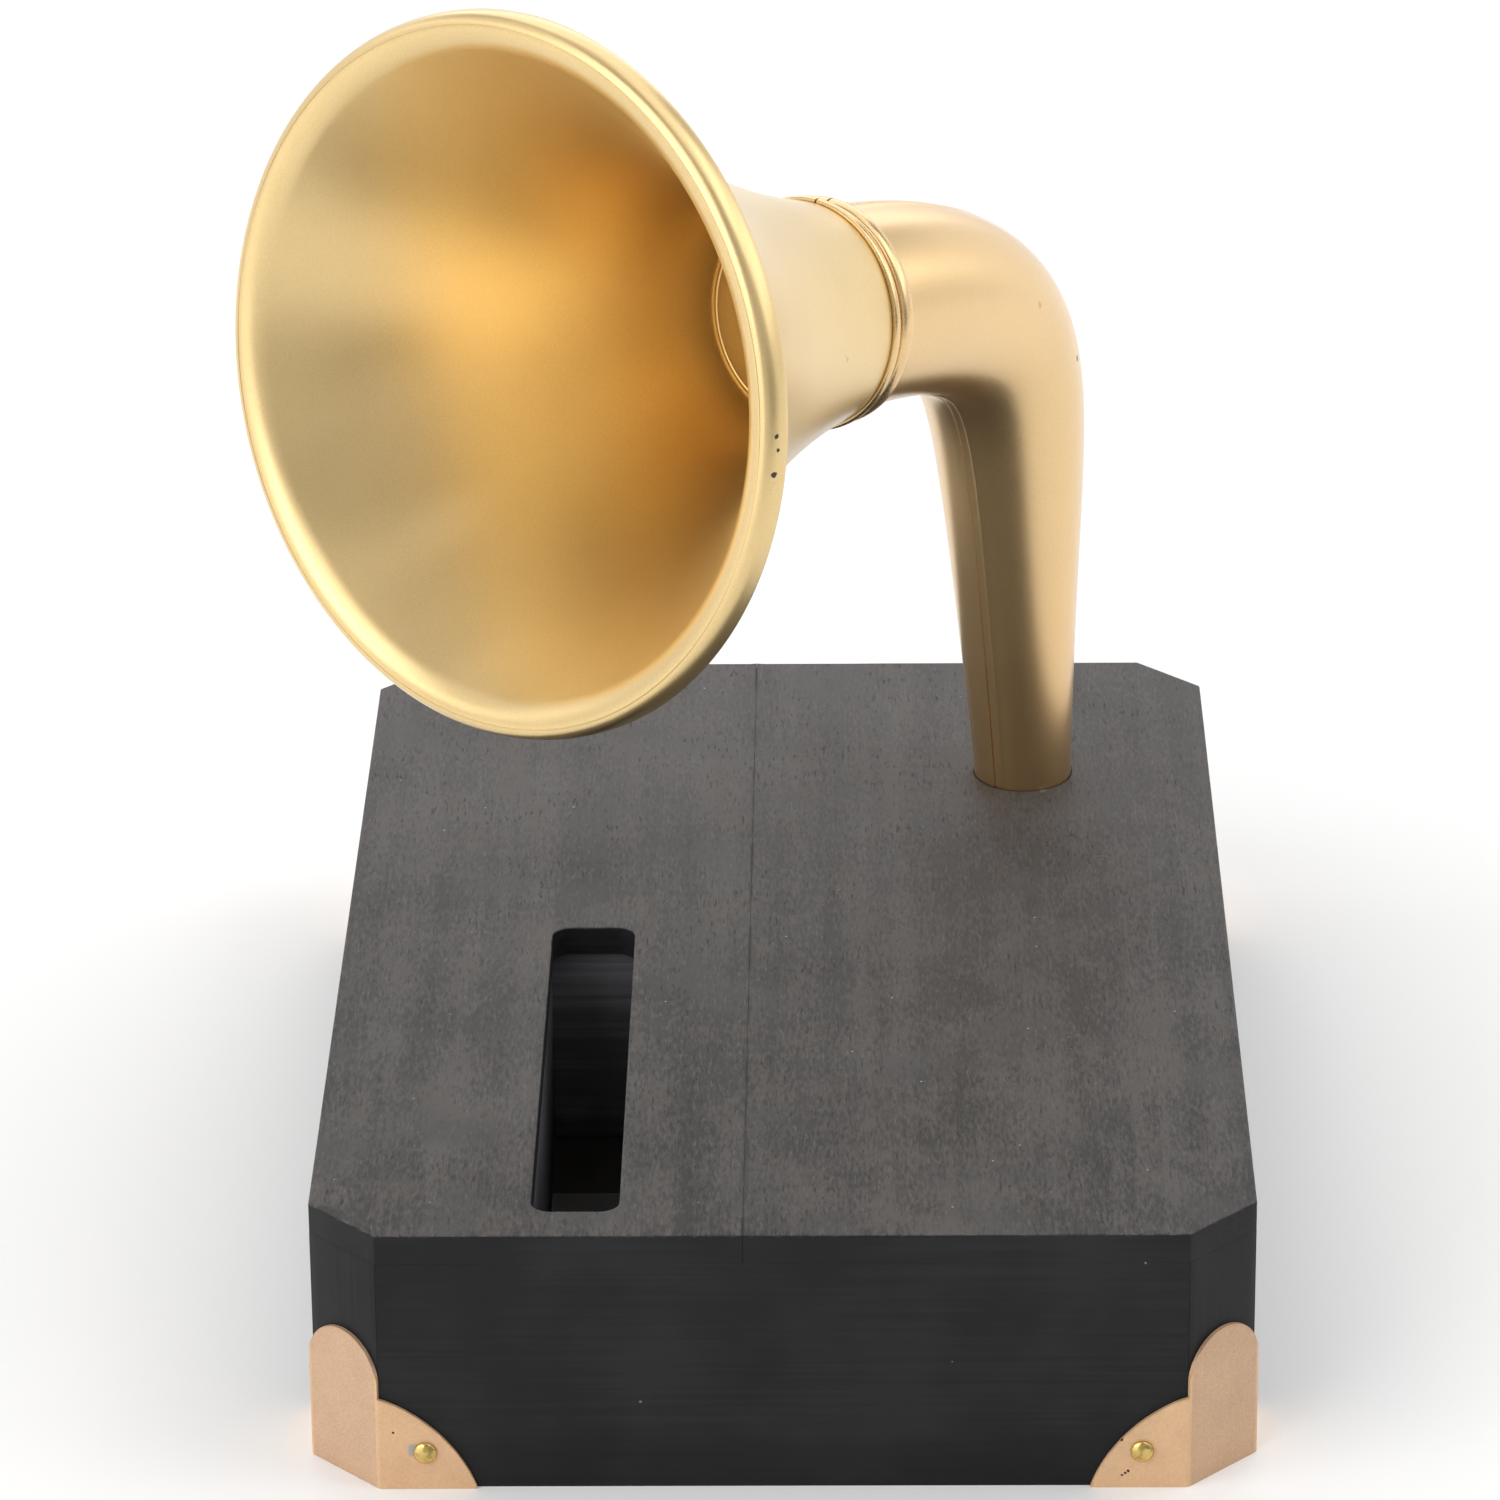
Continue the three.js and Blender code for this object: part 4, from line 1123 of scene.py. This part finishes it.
def collar_profile():
    """The ring over the joint: a wide round bead behind a thin ridge, with a groove between."""
    back, front, inner, gap = COLLAR["back"], COLLAR["front"], COLLAR["inner"], COLLAR["gap"]
    half, groove = COLLAR_RIDGE["width"] / 2, COLLAR_BEAD["groove"]
    profile = [(back, inner), (BELL_START - gap, inner)]
    profile += [(start, bell_curve(start, 1)[0].y + gap) for start in (BELL_START - gap, front)]
    profile += rounded_ring(front - half, half, COLLAR_RIDGE, 14)
    bead_front = front - COLLAR_RIDGE["width"] - groove
    profile.append((bead_front + groove / 2, COLLAR_BEAD["radius"] - COLLAR_BEAD["depth"]))
    middle = (bead_front + back) / 2
    return profile + rounded_ring(middle, bead_front - middle, COLLAR_BEAD, 30, power=0.8)


def sleeve_profile():
    """The sleeve in the throat, with the rounded lip that shows in the bell."""
    back, front = THROAT["back"], THROAT["front"]
    inner, outer, lip = THROAT["inner"], THROAT["outer"], THROAT["lip"]
    flare = [(back + 6, inner), (front - 4.5, inner + 0.7), (front - 2, lip - 1.2), (front, lip - 0.65)]
    nose = [flare[-1], (front + 0.2, lip - 0.1), (front - 0.5, lip), (front - 1.3, lip - 0.5)]
    tail = [nose[-1], (front - 3.0, lip - 0.9), (front - 6, outer + 0.6), (front - 8, outer)]
    points = [(back, inner), *bezier_points(flare, 18)]
    points += bezier_points(nose, 10)[1:] + bezier_points(tail, 8)[1:]
    return [tuple(point) for point in points] + [(back, outer)]


def on_horn_axis(along_axis, radius, clock):
    """A place on the horn in millimetres, from a distance along its axis, a radius and a clock angle."""
    angle = math.radians(clock)
    return tuple(HORN_AXIS @ Vector((along_axis, radius * math.sin(angle), radius * math.cos(angle))) / MM)


# Marks in the paint: a place and a radius, in millimetres.
RIM_CHIPS = [(on_horn_axis(107.2, 47.15, 85.2), 0.34), (on_horn_axis(107.0, 47.2, 87.4), 0.3)]
RIM_CHIPS += [(on_horn_axis(107.3, 47.1, 91.3), 0.42), (on_horn_axis(107.2, 47.15, 92.6), 0.2)]
BELL_SCUFFS = [(on_horn_axis(60 + 0.5 * k, 18.6, 90 - 1.2 * k), 0.3) for k in range(3)]
NECK_CHIPS = [((40.3, 43.5, 102.0), 0.45)]
NECK_SCUFFS = [((34.9, 34.7, 113.1), 0.45)]


def make_horn():
    bell = gold_paint("gold_paint_bell", RIM_CHIPS, BELL_SCUFFS, green=1.055, shine=(0.32, 0.39))
    add_piece("horn_bell", turned(bell_profile(), HORN_AXIS), bell, sharp=50)
    ring = gold_paint("gold_paint_ring", shine=(0.22, 0.3))
    add_piece("collar_ring", turned(collar_profile(), HORN_AXIS, slit=COLLAR["slit"]), ring, sharp=60)
    sleeve = gold_paint("gold_paint_sleeve", green=1.05, shine=(0.42, 0.5))
    add_piece("throat_sleeve", turned(sleeve_profile(), HORN_AXIS), sleeve, sharp=50)
    # The neck's paint is painted more orange near its foot, a painted reflection of the box.
    neck = gold_paint("gold_paint_neck", NECK_CHIPS, NECK_SCUFFS, painted_foot_reflection=True)
    add_piece("elbow_half_left", elbow_half(-1), neck, sharp=50)
    add_piece("elbow_half_right", elbow_half(1), neck, sharp=50)


# ---- scene

make_camera()
make_floor()
make_lights()
make_top_boards()
make_walls()
make_posts()
make_bottom()
make_well()
make_socket()
make_screws()
make_brackets()
make_nails()
make_horn()
